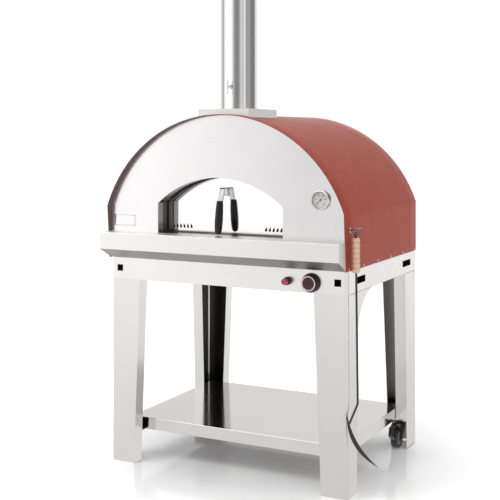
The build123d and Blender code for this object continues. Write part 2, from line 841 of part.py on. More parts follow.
def rain_cap():
    """Conical cap on three straps and a clamp band."""
    cone = faceted([(cap_radius, cap_eave - 8), (cap_radius, cap_eave), (4, cap_peak)])
    cone -= faceted([
        (cap_radius - 1.5, cap_eave - 9), (cap_radius - 1.5, cap_eave - 1), (4, cap_peak - 2),
    ])
    cone = Pos(0, flue_y, 0) * cone
    band = upright(0, flue_y, flue_top - 45, flue_top - 15, flue_radius + 2)
    band -= upright(0, flue_y, flue_top - 50, flue_top, flue_radius + 0.05)
    shape = cone + band
    slope = (cap_peak - cap_eave) / cap_radius
    for angle in (90, 210, 330):
        near = flue_radius + 0.8
        far = near + 2.2
        top = cap_peak - 0.6 - slope * near
        side = make_face(Polyline(
            (near, flue_top - 45), (far, flue_top - 45), (far, top - slope * 2.2), (near, top),
            close=True))
        shape += Pos(0, flue_y, 0) * (Rot(0, 0, angle) * along_y(side, -10, 10))
    return shape


# ================================================================ gauge
dial_y = plate_front - 4.0


probe_start = (gauge_x, plate_front + 20, gauge_z)
probe_end = (sensor_x, chamber_front + 55, gauge_z - sensor_drop)


def gauge_case():
    """Bezel and case of the thermometer, with its stem and slanting probe."""
    face = plate_front - gauge_depth
    case = turned_front([
        (0, plate_front), (gauge_radius, plate_front), (gauge_radius, face),
        (33.5, face), (33.5, plate_front - 3), (0, plate_front - 3),
    ], gauge_x, gauge_z)
    post = facing(gauge_x, gauge_z, plate_front - 7.5, plate_front - 2, 1.0)
    nut = nut_front(gauge_x, gauge_z, plate_front + sheet, plate_front + 10, 22)
    stem = facing(gauge_x, gauge_z, plate_front - 1, plate_front + 26, 7)
    probe = rod(probe_start, probe_end, 2.5)
    return case + post + stem + nut + probe


def gauge_dial():
    disc = facing(gauge_x, gauge_z, dial_y, plate_front - 3, 33)
    return disc - facing(gauge_x, gauge_z, dial_y - 2, plate_front, 1.0)


def gauge_needle():
    """Pointer at its cold end, lower left of the pivot."""
    thin = 0.8
    hub = facing(0, 0, -1.6, 0, 3.2)
    blade = make_face(Polyline((-1.6, 7), (1.6, 7), (0.5, -27), (-0.5, -27), close=True))
    pointer = along_y(blade, -1.6, -1.6 + thin)
    shape = hub + pointer - facing(0, 0, -5, 5, 1.0 + running_gap)
    return Pos(gauge_x, dial_y - 0.6, gauge_z) * (Rot(0, 45, 0) * shape)


def gauge_glass():
    face = plate_front - gauge_depth
    return facing(gauge_x, gauge_z, face + 2.6, face + 4.4, 33.3)


# ================================================================ gas
def gas_valve():
    """Brass valve body behind the apron with its stem bore and outlet."""
    y0 = front + sheet
    body = block(knob_x - 18, knob_x + 18, y0 + 8, y0 + 42, knob_z - 18, knob_z + 18)
    body = chamfer(body.edges().filter_by(Axis.Y), 4)
    nose = facing(knob_x, knob_z, y0, y0 + 8, 14)
    union = extrude(RegularPolygon(8, 6, major_radius=False), amount=8)
    outlet = Pos(knob_x, y0 + 28, knob_z + 18) * union
    inlet = nut_front(knob_x, 803, y0 + 42, y0 + 50, 17)
    shape = body + nose + outlet + inlet
    shape -= facing(knob_x, knob_z, y0 - 1, y0 + 30, stem_radius + running_gap)
    return shape


def valve_stem():
    stem = facing(knob_x, knob_z, knob_front + 8, front + sheet + 24, stem_radius)
    flat = block(knob_x - 5, knob_x + 5, knob_front, knob_front + 22, knob_z + 2.6, knob_z + 6)
    return stem - flat


def gas_knob():
    """Round knob with a wide skirt and a shallow recess in its face."""
    rear = front - 5
    body = turned_front([
        (0, rear), (knob_radius, rear), (knob_radius, rear - 4), (31, rear - 4),
        (31, knob_front), (25, knob_front), (25, knob_front + 2), (0, knob_front + 2),
    ], knob_x, knob_z)
    bore = facing(knob_x, knob_z, knob_front + 7.8, rear + 1, stem_radius + running_gap)
    return body - bore


def gas_pipe():
    """Supply pipe to the rear inlet, and the feed up to the burner."""
    y_valve = front + sheet
    supply = facing(knob_x, 803, y_valve + 50, back - 20, pipe_radius)
    nut = nut_front(knob_x, 803, back - 20, back - 6, 26)
    nipple = facing(knob_x, 803, back - 6, back + 20, inlet_radius)
    turn_low = (knob_x, y_valve + 28, knob_z + 38)
    turn_high = (burner_x, -burner_half_length, knob_z + 38)
    feed = rod((knob_x, y_valve + 28, knob_z + 26), turn_low, 4) + rod(turn_low, turn_high, 4)
    feed += rod(turn_high, (burner_x, -burner_half_length, burner_z - burner_radius), 4)
    for corner in (turn_low, turn_high):
        feed += Pos(*corner) * Box(12, 12, 12)
    return Compound(children=[supply + nut + nipple, feed])


def burner_tube():
    """Ported burner tube on two saddles over a folded base."""
    tube = facing(burner_x, burner_z, -burner_half_length - 12, burner_half_length, burner_radius)
    tube -= facing(burner_x, burner_z, -burner_half_length - 10, burner_half_length - 2,
                   burner_radius - 2)
    base = block(326, 403, -232, 232, chamber_foot, mouth_floor)
    base -= block(328, 401, -240, 240, chamber_foot - 1, mouth_floor - 2)
    shape = tube + base
    for y in (-150, 150):
        saddle = block(burner_x - 12, burner_x + 12, y - 2, y + 2, mouth_floor - 1, burner_z)
        shape += saddle - facing(burner_x, burner_z, y - 5, y + 5, burner_radius - 1)
    shape -= upright(burner_x, -burner_half_length, chamber_foot - 5, mouth_floor + 10, 7.5)
    for i in range(9):
        slot = Rot(0, -40, 0) * (Pos(0, 0, 15) * Box(3, 24, 12))
        shape -= Pos(burner_x, -168 + 42 * i, burner_z) * slot
    return shape


def igniter_body():
    """Push-button igniter: a collar in front and the generator behind."""
    collar = turned_front([
        (0, front), (16, front), (16, front - 17), (12.3, front - 17), (12.3, front - 3),
        (0, front - 3),
    ], igniter_x, igniter_z)
    neck = facing(igniter_x, igniter_z, front - 1, front + 10, 10.5)
    barrel = block(igniter_x - 9, igniter_x + 9, front + 8, front + 48, igniter_z - 9, igniter_z + 9)
    nut = nut_front(igniter_x, igniter_z, front + sheet, front + 8, 28)
    return collar + neck + chamfer(barrel.edges().filter_by(Axis.Y), 3) + nut


def igniter_button():
    return facing(igniter_x, igniter_z, front - 38, front - 9, 12)


# ================================================================ rake
def rake_hook():
    """Straight peg on the hood's side, pointing slightly up."""
    rise = radians(peg_rise)
    level = ring_z + ring_radius - ring_wire - 0.3 - peg_radius / cos(rise)
    reach = rake_x - half_width
    foot = (half_width + 1, rake_y, level - (reach - 1) * sin(rise) / cos(rise))
    tip = (foot[0] + peg_length * cos(rise), rake_y, foot[2] + peg_length * sin(rise))
    flange = Rot(0, 90, 0) * extrude(RegularPolygon(12, 6, major_radius=False), amount=3)
    return rod(foot, tip, peg_radius) + Pos(half_width, rake_y, foot[2]) * flange


def rake_ring():
    return Pos(rake_x, rake_y, ring_z) * (Rot(0, 90, 0) * flat_ring(ring_radius, ring_wire))


ring_low = ring_z - ring_radius


def leaning(shape):
    """Lean a rake piece about the ring's lowest point."""
    pivot = Pos(rake_x, rake_y, ring_low)
    return pivot * (Rot(rake_lean, 0, 0) * shape)


def rake_handle():
    """Turned wooden grip with a row of beads."""
    high = handle_top - ring_low
    low = handle_bottom - ring_low
    pitch = (high - low) / bead_count
    bore = rod_radius + 0.05
    groove, crown = 12.4, 15.8
    outline = [(groove, low)]
    for i in range(bead_count):
        z = low + i * pitch
        outline += [(crown, z + pitch / 2), (groove, z + pitch)]
    return leaning(faceted(outline, 20) - upright(0, 0, low - 1, high + 1, bore))


def blade():
    """Crescent blade, hollow side up and out."""
    high_tip = Vector(541 - rake_x, 339 - ring_low)
    low_tip = Vector(662 - rake_x, 152 - ring_low)
    chord = low_tip - high_tip
    across = Vector(chord.Y, -chord.X).normalized()
    middle = (high_tip + low_tip) * 0.5
    outer = ThreePointArc(high_tip, middle + across * 40, low_tip)
    inner = ThreePointArc(high_tip, middle + across * 23, low_tip)
    crescent = make_face([outer, inner])
    return along_y(crescent, -60 - rod_radius - blade_thickness + 0.5, -60 - rod_radius + 0.5)


def rake_rod():
    """Steel rod with an eye at the top, bent forward and welded to the blade."""
    eye_radius, eye_wire, eye_slack = 6.0, 2.0, 2.0
    eye_level = ring_wire + eye_slack + eye_wire - eye_radius
    eye = Pos(0, 0, eye_level) * (Rot(90, 0, 0) * flat_ring(eye_radius, eye_wire, 16))
    bend = bend_z - ring_low
    shaft = rod((0, 0, eye_level - eye_radius), (0, 0, bend - 1.7), rod_radius)
    foot = rod((0.2, 1.2, bend + 1.2), (-10, -64, bend - 60), rod_radius)
    return leaning(eye + shaft + foot + blade())


# ================================================================ output
save(apron(), "front_apron")
right_rail, left_rail = both_sides(side_rail())
save(right_rail, "right_side_rail")
save(left_rail, "left_side_rail")
save(rear_rail(), "rear_rail")
for name, shape in (("front", front_leg()), ("rear", rear_leg())):
    right, left = both_sides(shape)
    save(right, f"{name}_right_leg")
    save(left, f"{name}_left_leg")
save(shelf(), "storage_shelf")
save(stand_bolts(), "stand_bolts")

castor_pieces = {
    "castor_plate": castor_plate(), "castor_fork": castor_fork(), "castor_hub": castor_hub(),
    "castor_tread": castor_tread(), "castor_brake": castor_brake(),
}
for name, shape in castor_pieces.items():
    right, left = both_sides(Pos(castor_x, castor_y, 0) * shape)
    save(right, f"right_{name}")
    save(left, f"left_{name}")

save(base_tray(), "base_tray")
save(base_insulation(), "base_insulation")
for column in (0, 1):
    for row in (0, 1):
        save(floor_tile(column, row), f"floor_tile_{2 * row + column + 1}")
save(chamber_vault(), "chamber_vault")
save(chamber_rear_wall(), "chamber_rear_wall")
save(insulation_blanket(), "insulation_blanket")
save(throat_liner(), "throat_liner")
save(front_plate(), "front_plate")
save(hood(), "hood_cover")
save(back_panel(), "back_panel")
save(ledge(), "front_ledge")
save(name_plate(), "name_plate")

save(door_panel(), "door_panel")
save(door_core(), "door_core")
save(door_bracket(), "door_bracket")
save(door_grip(), "door_grip")

save(flue_collar(), "flue_collar")
save(smoke_duct(), "smoke_duct")
save(flue_pipe(), "flue_pipe")
save(damper_plate(), "damper_plate")
save(damper_spindle(), "damper_spindle")
save(rain_cap(), "rain_cap")

save(gauge_case(), "gauge_case")
save(gauge_dial(), "gauge_dial")
save(gauge_needle(), "gauge_needle")
save(gauge_glass(), "gauge_glass")

save(gas_valve(), "gas_valve")
save(valve_stem(), "valve_stem")
save(gas_knob(), "gas_knob")
save(gas_pipe(), "gas_pipe")
save(burner_tube(), "burner_tube")
save(igniter_body(), "igniter_body")
save(igniter_button(), "igniter_button")

save(rake_hook(), "rake_hook")
save(rake_ring(), "rake_ring")
save(rake_handle(), "rake_handle")
save(rake_rod(), "rake_rod")
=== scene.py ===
import bpy
import bmesh
from math import cos, sin, tan, radians, sqrt, pi, acos
from mathutils import Matrix, Vector


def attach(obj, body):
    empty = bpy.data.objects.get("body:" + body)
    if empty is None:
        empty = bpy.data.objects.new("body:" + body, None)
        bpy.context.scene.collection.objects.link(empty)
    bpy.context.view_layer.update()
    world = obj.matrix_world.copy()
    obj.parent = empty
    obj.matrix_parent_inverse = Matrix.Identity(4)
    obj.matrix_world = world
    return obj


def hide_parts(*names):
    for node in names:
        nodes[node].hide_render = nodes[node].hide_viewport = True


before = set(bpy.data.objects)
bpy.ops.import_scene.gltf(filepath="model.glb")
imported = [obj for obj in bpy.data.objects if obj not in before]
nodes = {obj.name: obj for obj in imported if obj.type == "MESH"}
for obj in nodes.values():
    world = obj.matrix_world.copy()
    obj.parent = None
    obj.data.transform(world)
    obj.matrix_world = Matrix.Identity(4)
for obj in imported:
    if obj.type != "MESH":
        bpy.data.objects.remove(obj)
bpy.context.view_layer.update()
scene = bpy.context.scene
mm = 0.001


# node helpers

def give(tree, socket, value):       # a link from another node's socket, or a plain value
    if isinstance(value, bpy.types.NodeSocket):
        tree.links.new(value, socket)
    else:
        socket.default_value = value


def addNode(tree, kind, inputs=None, **settings):
    node = tree.nodes.new(kind)
    for key, value in settings.items():
        setattr(node, key, value)
    for key, value in (inputs or {}).items():
        give(tree, node.inputs[key], value)
    return node


def colour(r, g, b):
    return (r, g, b, 1.0)


def remap(tree, value, low, high, fromLow=0.0, fromHigh=1.0):
    inputs = {"Value": value, "From Min": fromLow, "From Max": fromHigh, "To Min": low, "To Max": high}
    return addNode(tree, "ShaderNodeMapRange", inputs).outputs["Result"]


def mixColour(tree, factor, first, second):
    return addNode(tree, "ShaderNodeMix", {0: factor, 6: first, 7: second}, data_type="RGBA").outputs[2]


def maths(tree, operation, first, second=0.0, clamp=False):
    node = addNode(tree, "ShaderNodeMath", {0: first, 1: second}, operation=operation, use_clamp=clamp)
    return node.outputs[0]


def times(tree, first, second):
    return maths(tree, "MULTIPLY", first, second)


def splitVector(tree, vector):
    return addNode(tree, "ShaderNodeSeparateXYZ", {0: vector}).outputs


def outwardNormal(tree):
    return splitVector(tree, addNode(tree, "ShaderNodeNewGeometry").outputs["Normal"])


def openGroup(name, inputs, outputs):
    group = bpy.data.node_groups.new(name, "ShaderNodeTree")
    for socket, kind, value in inputs:
        made = group.interface.new_socket(socket, in_out="INPUT", socket_type=kind)
        if value is not None:
            made.default_value = value
    for socket, kind in outputs:
        group.interface.new_socket(socket, in_out="OUTPUT", socket_type=kind)
    return group, group.nodes.new("NodeGroupInput").outputs, group.nodes.new("NodeGroupOutput")


def placeGroup(tree, group, **inputs):
    node = addNode(tree, "ShaderNodeGroup", node_tree=group)
    for key, value in inputs.items():
        give(tree, node.inputs[key], value)
    return node.outputs


# shared surface effects

def makeGrain():     # fine lines or pores with a slow cloud of tone over them
    tree, given, out = openGroup(
        "surfaceGrain",
        [("Vector", "NodeSocketVector", None), ("Fineness", "NodeSocketFloat", 60.0),
         ("Depth", "NodeSocketFloat", 0.1), ("Normal", "NodeSocketVector", None)],
        [("Line", "NodeSocketFloat"), ("Cloud", "NodeSocketFloat"), ("Normal", "NodeSocketVector")])
    fine = addNode(tree, "ShaderNodeTexNoise", {
        "Vector": given["Vector"], "Scale": given["Fineness"], "Detail": 5.0, "Roughness": 0.62})
    slow = addNode(tree, "ShaderNodeTexNoise", {
        "Vector": given["Vector"], "Scale": times(tree, given["Fineness"], 0.07),
        "Detail": 2.0, "Roughness": 0.5})
    bump = addNode(tree, "ShaderNodeBump", {
        "Strength": given["Depth"], "Distance": 0.0006, "Height": fine.outputs[0], "Normal": given["Normal"]})
    tree.links.new(remap(tree, fine.outputs[0], 0, 1, 0.25, 0.75), out.inputs["Line"])
    tree.links.new(remap(tree, slow.outputs[0], 0, 1, 0.3, 0.7), out.inputs["Cloud"])
    tree.links.new(bump.outputs[0], out.inputs["Normal"])
    return tree


def makeSmudge():    # wiped patches and dust that gather in blotches
    tree, given, out = openGroup(
        "wipedPatches",
        [("Vector", "NodeSocketVector", None), ("Scale", "NodeSocketFloat", 6.0),
         ("Amount", "NodeSocketFloat", 0.5)],
        [("Mask", "NodeSocketFloat")])
    broad = addNode(tree, "ShaderNodeTexNoise", {
        "Vector": given["Vector"], "Scale": given["Scale"], "Detail": 6.0, "Roughness": 0.55, "Distortion": 0.8})
    finer = addNode(tree, "ShaderNodeTexNoise", {
        "Vector": given["Vector"], "Scale": times(tree, given["Scale"], 5.3), "Detail": 3.0})
    both = times(tree, broad.outputs[0], maths(tree, "ADD", finer.outputs[0], 0.45))
    mask = remap(tree, both, 0, 1, 0.36, 0.62)
    tree.links.new(maths(tree, "MULTIPLY", mask, given["Amount"], clamp=True), out.inputs["Mask"])
    return tree


def makeSoftEdge():  # rounds the look of a folded edge and finds where it is
    tree, given, out = openGroup(
        "softEdge", [("Radius", "NodeSocketFloat", 0.001)],
        [("Normal", "NodeSocketVector"), ("Edge", "NodeSocketFloat")])
    bevel = addNode(tree, "ShaderNodeBevel", {"Radius": given["Radius"]}, samples=6)
    flat = addNode(tree, "ShaderNodeNewGeometry")
    dot = addNode(tree, "ShaderNodeVectorMath", {0: bevel.outputs[0], 1: flat.outputs["Normal"]},
                  operation="DOT_PRODUCT")
    tree.links.new(bevel.outputs[0], out.inputs["Normal"])
    tree.links.new(remap(tree, dot.outputs["Value"], 1, 0, 0.75, 0.995), out.inputs["Edge"])
    return tree


grainGroup = makeGrain()
smudgeGroup = makeSmudge()
edgeGroup = makeSoftEdge()


def openMaterial(name, stretch=(1, 1, 1), centre=(0, 0, 0)):
    material = bpy.data.materials.new(name)
    material.use_nodes = True
    tree = material.node_tree
    shader = tree.nodes["Principled BSDF"]
    spot = addNode(tree, "ShaderNodeTexCoord").outputs["Object"]
    mapping = addNode(tree, "ShaderNodeMapping", {"Vector": spot, "Scale": stretch, "Location": centre})
    return material, tree, shader, mapping.outputs[0], spot


def feed(tree, shader, **inputs):
    names = {"base": "Base Color", "rough": "Roughness", "normal": "Normal", "metal": "Metallic",
             "coat": "Coat Weight", "coatRough": "Coat Roughness", "glow": "Emission Color",
             "clear": "Transmission Weight", "ior": "IOR", "specular": "Specular IOR Level",
             "sheen": "Sheen Weight", "sheenRough": "Sheen Roughness", "sheenTint": "Sheen Tint"}
    for key, value in inputs.items():
        give(tree, shader.inputs[names[key]], value)


def sheetMetal(name, tone, rough, stretch, fineness=90, depth=0.01, patches=0.2, edge=(0.0008, 0.35, 0.95),
               metal=1.0, rightShade=1.0, lipShade=1.0, hollowShade=1.0):
    material, tree, shader, mapped, spot = openMaterial(name, stretch)
    edgeRadius, edgeAmount, edgeTone = edge
    way = outwardNormal(tree)
    where = splitVector(tree, spot)
    shade = remap(tree, way["Z"], 0.5, 1.0, -0.7, -0.2)                     # painted shade, darker on faces that look down
    if rightShade < 1:                                                       # painted shade, darker towards the right
        shade = times(tree, shade, remap(tree, where["X"], 1.0, rightShade, -0.38, 0.36))
    if lipShade < 1:                                                         # painted shade, darker on faces turned away from the front
        shade = times(tree, shade, remap(tree, way["Y"], 1.0, lipShade, -0.9, -0.5))
    if hollowShade < 1:                                                      # painted shade, dark inside a folded leg
        sideways = remap(tree, times(tree, where["X"], way["X"]), hollowShade, 1.0, -0.52, -0.50)
        lengthways = remap(tree, times(tree, where["Y"], way["Y"]), hollowShade, 1.0, -0.40, -0.385)
        shade = times(tree, shade, maths(tree, "MINIMUM", sideways, lengthways))
    rim = placeGroup(tree, edgeGroup, Radius=edgeRadius)
    grain = placeGroup(tree, grainGroup, Vector=mapped, Fineness=fineness, Depth=depth, Normal=rim["Normal"])
    patch = placeGroup(tree, smudgeGroup, Vector=spot, Scale=5.0, Amount=patches)["Mask"]
    darker = [t * 0.96 for t in tone]
    lighter = [min(1.0, t * 1.03) for t in tone]
    drawn = mixColour(tree, grain["Line"], colour(*darker), colour(*lighter))
    dulled = mixColour(tree, patch, drawn, colour(*[t * 0.95 for t in tone]))
    # edges rubbed lighter, and on the strap painted near black as painted shade
    edgeWearAndShade = mixColour(tree, times(tree, rim["Edge"], edgeAmount), dulled, colour(edgeTone, edgeTone, edgeTone))
    shaded = mixColour(tree, shade, colour(0, 0, 0), edgeWearAndShade)
    rougher = maths(tree, "ADD", remap(tree, grain["Line"], *rough), times(tree, patch, 0.08))
    feed(tree, shader, base=shaded, rough=rougher, normal=grain["Normal"], metal=metal)
    return material


def makeHoodPaint(archCentre=0.891):
    material, tree, shader, mapped, spot = openMaterial("hoodPaint")
    edge = placeGroup(tree, edgeGroup, Radius=0.0008)
    peel = placeGroup(tree, grainGroup, Vector=spot, Fineness=420.0, Depth=0.10, Normal=edge["Normal"])
    wiped = placeGroup(tree, smudgeGroup, Vector=spot, Scale=3.0, Amount=0.5)["Mask"]
    tone = mixColour(tree, peel["Cloud"], colour(0.325, 0.048, 0.026), colour(0.375, 0.061, 0.032))
    dusty = mixColour(tree, times(tree, wiped, 0.05), tone, colour(0.48, 0.18, 0.12))
    chipped = mixColour(tree, times(tree, edge["Edge"], 0.25), dusty, colour(0.55, 0.2, 0.14))
    way = outwardNormal(tree)
    where = splitVector(tree, spot)
    rise = maths(tree, "SUBTRACT", where["Z"], archCentre)
    outward = maths(tree, "ADD", times(tree, where["X"], way["X"]), times(tree, rise, way["Z"]))
    inside = remap(tree, outward, 1.0, 0.0, -0.3, -0.1)                     # painted shade: the inner side of the sheet is painted dark brown
    innerShaded = mixColour(tree, inside, chipped, colour(0.14, 0.095, 0.085))
    rough = maths(tree, "ADD", remap(tree, peel["Line"], 0.34, 0.42), times(tree, wiped, 0.08))
    feed(tree, shader, base=innerShaded, rough=rough, normal=peel["Normal"], specular=0.09,
         sheen=0.42, sheenRough=0.14, sheenTint=colour(1.0, 0.86, 0.80))
    return material


def makeWood():
    material, tree, shader, mapped, spot = openMaterial(
        "turnedBeech", stretch=(1, 1, 0.10), centre=(-0.548, 0.389, 0))
    grain = placeGroup(tree, grainGroup, Vector=mapped, Fineness=420.0, Depth=0.22)
    rings = addNode(tree, "ShaderNodeTexWave", {
        "Vector": mapped, "Scale": 95.0, "Distortion": 5.0, "Detail": 3.0, "Detail Scale": 1.6},
        wave_type="RINGS", rings_direction="Z")
    pale, brown = colour(0.80, 0.56, 0.38), colour(0.50, 0.27, 0.14)
    year = mixColour(tree, remap(tree, rings.outputs["Fac"], 0.0, 0.42), pale, brown)
    fleck = mixColour(tree, remap(tree, grain["Line"], 0.28, 0.0), year, brown)
    feed(tree, shader, base=fleck, rough=remap(tree, grain["Line"], 0.48, 0.36), normal=grain["Normal"],
         coat=0.15, coatRough=0.3)
    return material


def makePlastic(name, tone, rough, fineness=160.0, depth=0.08, coat=0.0, dust=0.3, shine=0.5):
    material, tree, shader, mapped, spot = openMaterial(name)
    edge = placeGroup(tree, edgeGroup, Radius=0.0008)
    grain = placeGroup(tree, grainGroup, Vector=spot, Fineness=fineness, Depth=depth, Normal=edge["Normal"])
    dusty = placeGroup(tree, smudgeGroup, Vector=spot, Scale=24.0, Amount=dust)["Mask"]
    paler = [min(1.0, t * 1.25 + 0.012) for t in tone]
    base = mixColour(tree, grain["Cloud"], colour(*tone), colour(*paler))
    dusted = mixColour(tree, times(tree, dusty, 0.06), base, colour(0.30, 0.29, 0.28))
    feed(tree, shader, base=dusted, rough=remap(tree, grain["Line"], *rough),
         normal=grain["Normal"], coat=coat, coatRough=0.06, specular=shine)
    return material


def makeThroatSteel():   # blued by heat, with soot that runs upwards
    material, tree, shader, mapped, spot = openMaterial("sootedSteel", stretch=(1, 1, 0.14))
    edge = placeGroup(tree, edgeGroup, Radius=0.0008)
    grain = placeGroup(tree, grainGroup, Vector=mapped, Fineness=90.0, Depth=0.10, Normal=edge["Normal"])
    soot = placeGroup(tree, smudgeGroup, Vector=mapped, Scale=16.0, Amount=0.8)["Mask"]
    steel = mixColour(tree, grain["Line"], colour(0.06, 0.055, 0.052), colour(0.13, 0.12, 0.115))
    black = mixColour(tree, soot, steel, colour(0.035, 0.032, 0.03))
    feed(tree, shader, base=black, rough=remap(tree, soot, 0.42, 0.7), normal=grain["Normal"], metal=0.75)
    return material


def makeFirebrick():
    material, tree, shader, mapped, spot = openMaterial("fireBrick")
    edge = placeGroup(tree, edgeGroup, Radius=0.0012)
    pores = placeGroup(tree, grainGroup, Vector=spot, Fineness=230.0, Depth=0.6, Normal=edge["Normal"])
    scorch = placeGroup(tree, smudgeGroup, Vector=spot, Scale=7.0, Amount=0.9)["Mask"]
    specks = addNode(tree, "ShaderNodeTexVoronoi", {"Vector": spot, "Scale": 190.0})
    clay = mixColour(tree, pores["Cloud"], colour(0.60, 0.47, 0.33), colour(0.70, 0.60, 0.46))
    speck = remap(tree, specks.outputs["Distance"], 0.5, 0.0, 0.0, 0.35)
    dotted = mixColour(tree, speck, clay, colour(0.32, 0.22, 0.15))
    burnt = mixColour(tree, times(tree, scorch, 0.35), dotted, colour(0.20, 0.15, 0.11))
    feed(tree, shader, base=burnt, rough=remap(tree, pores["Line"], 0.8, 0.95), normal=pores["Normal"])
    return material


def makeFibre():
    material, tree, shader, mapped, spot = openMaterial("ceramicFibre", stretch=(1, 1, 2.5))
    grain = placeGroup(tree, grainGroup, Vector=mapped, Fineness=150.0, Depth=0.9)
    base = mixColour(tree, grain["Line"], colour(0.62, 0.60, 0.55), colour(0.84, 0.83, 0.80))
    feed(tree, shader, base=base, rough=remap(tree, grain["Line"], 0.85, 1.0), normal=grain["Normal"],
         sheen=0.3)
    return material


def makeGlass():
    material, tree, shader, mapped, spot = openMaterial("dialGlass")
    patch = placeGroup(tree, smudgeGroup, Vector=spot, Scale=40.0, Amount=0.3)["Mask"]
    feed(tree, shader, base=colour(1, 1, 1), rough=remap(tree, patch, 0.0, 0.06), clear=1.0, ior=1.45)
    return material


def makeRubber():
    material, tree, shader, mapped, spot = openMaterial("wheelRubber")
    grain = placeGroup(tree, grainGroup, Vector=spot, Fineness=300.0, Depth=0.3)
    dust = placeGroup(tree, smudgeGroup, Vector=spot, Scale=30.0, Amount=0.7)["Mask"]
    base = mixColour(tree, grain["Cloud"], colour(0.014, 0.014, 0.014), colour(0.03, 0.03, 0.03))
    trodden = mixColour(tree, times(tree, dust, 0.3), base, colour(0.16, 0.15, 0.14))
    feed(tree, shader, base=trodden, rough=remap(tree, grain["Line"], 0.62, 0.78), normal=grain["Normal"])
    return material


upright, level, even = (14, 14, 0.5), (0.5, 14, 14), (1, 1, 1)     # which way the grain is drawn out
sheet = {"fineness": 70, "depth": 0.02, "patches": 0.35}
cast = {"fineness": 160, "depth": 0.3, "patches": 0.4}

metals = {       # tone, roughness from and to, grain, and what else differs
    "standSteel": ((0.82, 0.795, 0.785), (0.17, 0.25), upright,
                   {**sheet, "rightShade": 0.90, "hollowShade": 0.22}),
    "ledgeSteel": ((0.94, 0.92, 0.915), (0.42, 0.50), level, {**sheet, "rightShade": 0.88}),
    "plateSteel": ((0.94, 0.925, 0.925), (0.20, 0.27), level,
                   {**sheet, "depth": 0.01, "rightShade": 0.76, "lipShade": 0.25}),
    "crossSteel": ((0.90, 0.88, 0.875), (0.22, 0.30), level, {**sheet, "rightShade": 0.88}),
    "ductSteel": ((0.80, 0.785, 0.78), (0.20, 0.28), level, {**sheet, "rightShade": 0.80}),
    "shelfSteel": ((0.76, 0.745, 0.74), (0.08, 0.13), level, sheet),
    "mirrorSteel": ((0.93, 0.925, 0.925), (0.03, 0.06), even,
                    {"fineness": 40, "depth": 0.006, "patches": 0.25}),
    "doorSteel": ((0.96, 0.955, 0.955), (0.05, 0.08), even, {"fineness": 40, "depth": 0.0, "patches": 0.15}),
    "chromed": ((0.86, 0.86, 0.87), (0.05, 0.10), even, {}),
    "ringSteel": ((0.30, 0.265, 0.25), (0.22, 0.32), even, {}),
    "roseChrome": ((0.66, 0.56, 0.57), (0.16, 0.24), even, {}),
    # painted shade: the strap's sides are painted near black
    "strapChrome": ((0.60, 0.62, 0.62), (0.04, 0.08), even, {"edge": (0.0045, 0.97, 0.012)}),
    "zincBolt": ((0.66, 0.66, 0.64), (0.25, 0.4), even, {**cast, "depth": 0.2}),
    "blackened": ((0.045, 0.044, 0.043), (0.38, 0.55), even, {**cast, "depth": 0.25, "metal": 0.6}),
    "castBrass": ((0.70, 0.48, 0.19), (0.3, 0.45), even, cast),
}
plastics = {     # tone, roughness from and to, and what else differs
    "blackGrip": ((0.006, 0.006, 0.006), (0.10, 0.17),
                  {"fineness": 60.0, "depth": 0.03, "coat": 0.1, "dust": 0.1, "shine": 0.2}),
    "knobBlack": ((0.012, 0.009, 0.008), (0.22, 0.32), {"shine": 0.25}),
    "knobBrown": ((0.050, 0.020, 0.018), (0.22, 0.30), {"dust": 0.1, "shine": 0.15}),
    "buttonRed": ((0.30, 0.012, 0.045), (0.16, 0.24), {"coat": 0.4, "dust": 0.1}),
    "castorBlack": ((0.018, 0.018, 0.018), (0.34, 0.5), {"coat": 0.1}),
    "hubGrey": ((0.30, 0.30, 0.30), (0.4, 0.55), {}),
    "dialWhite": ((0.82, 0.82, 0.79), (0.5, 0.6), {"dust": 0.0}),
    "inkBlack": ((0.012, 0.012, 0.012), (0.4, 0.5), {"dust": 0.0}),
}
finishes = {
    "hoodPaint": makeHoodPaint(),
    "turnedBeech": makeWood(),
    "wheelRubber": makeRubber(),
    "sootedSteel": makeThroatSteel(),
    "fireBrick": makeFirebrick(),
    "ceramicFibre": makeFibre(),
    "dialGlass": makeGlass(),
}
for name, (tone, rough, grain, others) in metals.items():
    finishes[name] = sheetMetal(name, tone, rough, grain, **others)
for name, (tone, rough, others) in plastics.items():
    finishes[name] = makePlastic(name, tone, rough, **others)
print("finishes made:", len(finishes))


# finish of the pieces that keep their CAD shape

castorSides = ("left", "right")
keptNodes = {
    "standSteel": ["front_left_leg", "front_right_leg", "rear_left_leg", "rear_right_leg"],
    "crossSteel": ["front_apron", "rear_rail", "left_side_rail", "right_side_rail", "base_tray", "back_panel"],
    "ductSteel": ["smoke_duct", "flue_collar"],
    "ledgeSteel": ["front_ledge"],
    "shelfSteel": ["storage_shelf"],
    "plateSteel": ["front_plate"],
    "doorSteel": ["door_panel"],
    "zincBolt": ["stand_bolts", "gas_pipe"],
    "sootedSteel": ["throat_liner", "chamber_vault", "chamber_rear_wall", "door_core", "burner_tube",
                    "damper_plate"],
    "fireBrick": ["floor_tile_1", "floor_tile_2", "floor_tile_3", "floor_tile_4"],
    "ceramicFibre": ["insulation_blanket", "base_insulation"],
    "castBrass": ["gas_valve"],
    "chromed": ["valve_stem", "damper_spindle"],
    "castorBlack": [side + "_castor_" + piece for side in castorSides for piece in ("plate", "fork")],
}
for finish, names in keptNodes.items():
    for name in names:
        for place in nodes[name].material_slots:
            place.material = finishes[finish]
print("kept CAD pieces:", sum(len(names) for names in keptNodes.values()))


# mesh helpers

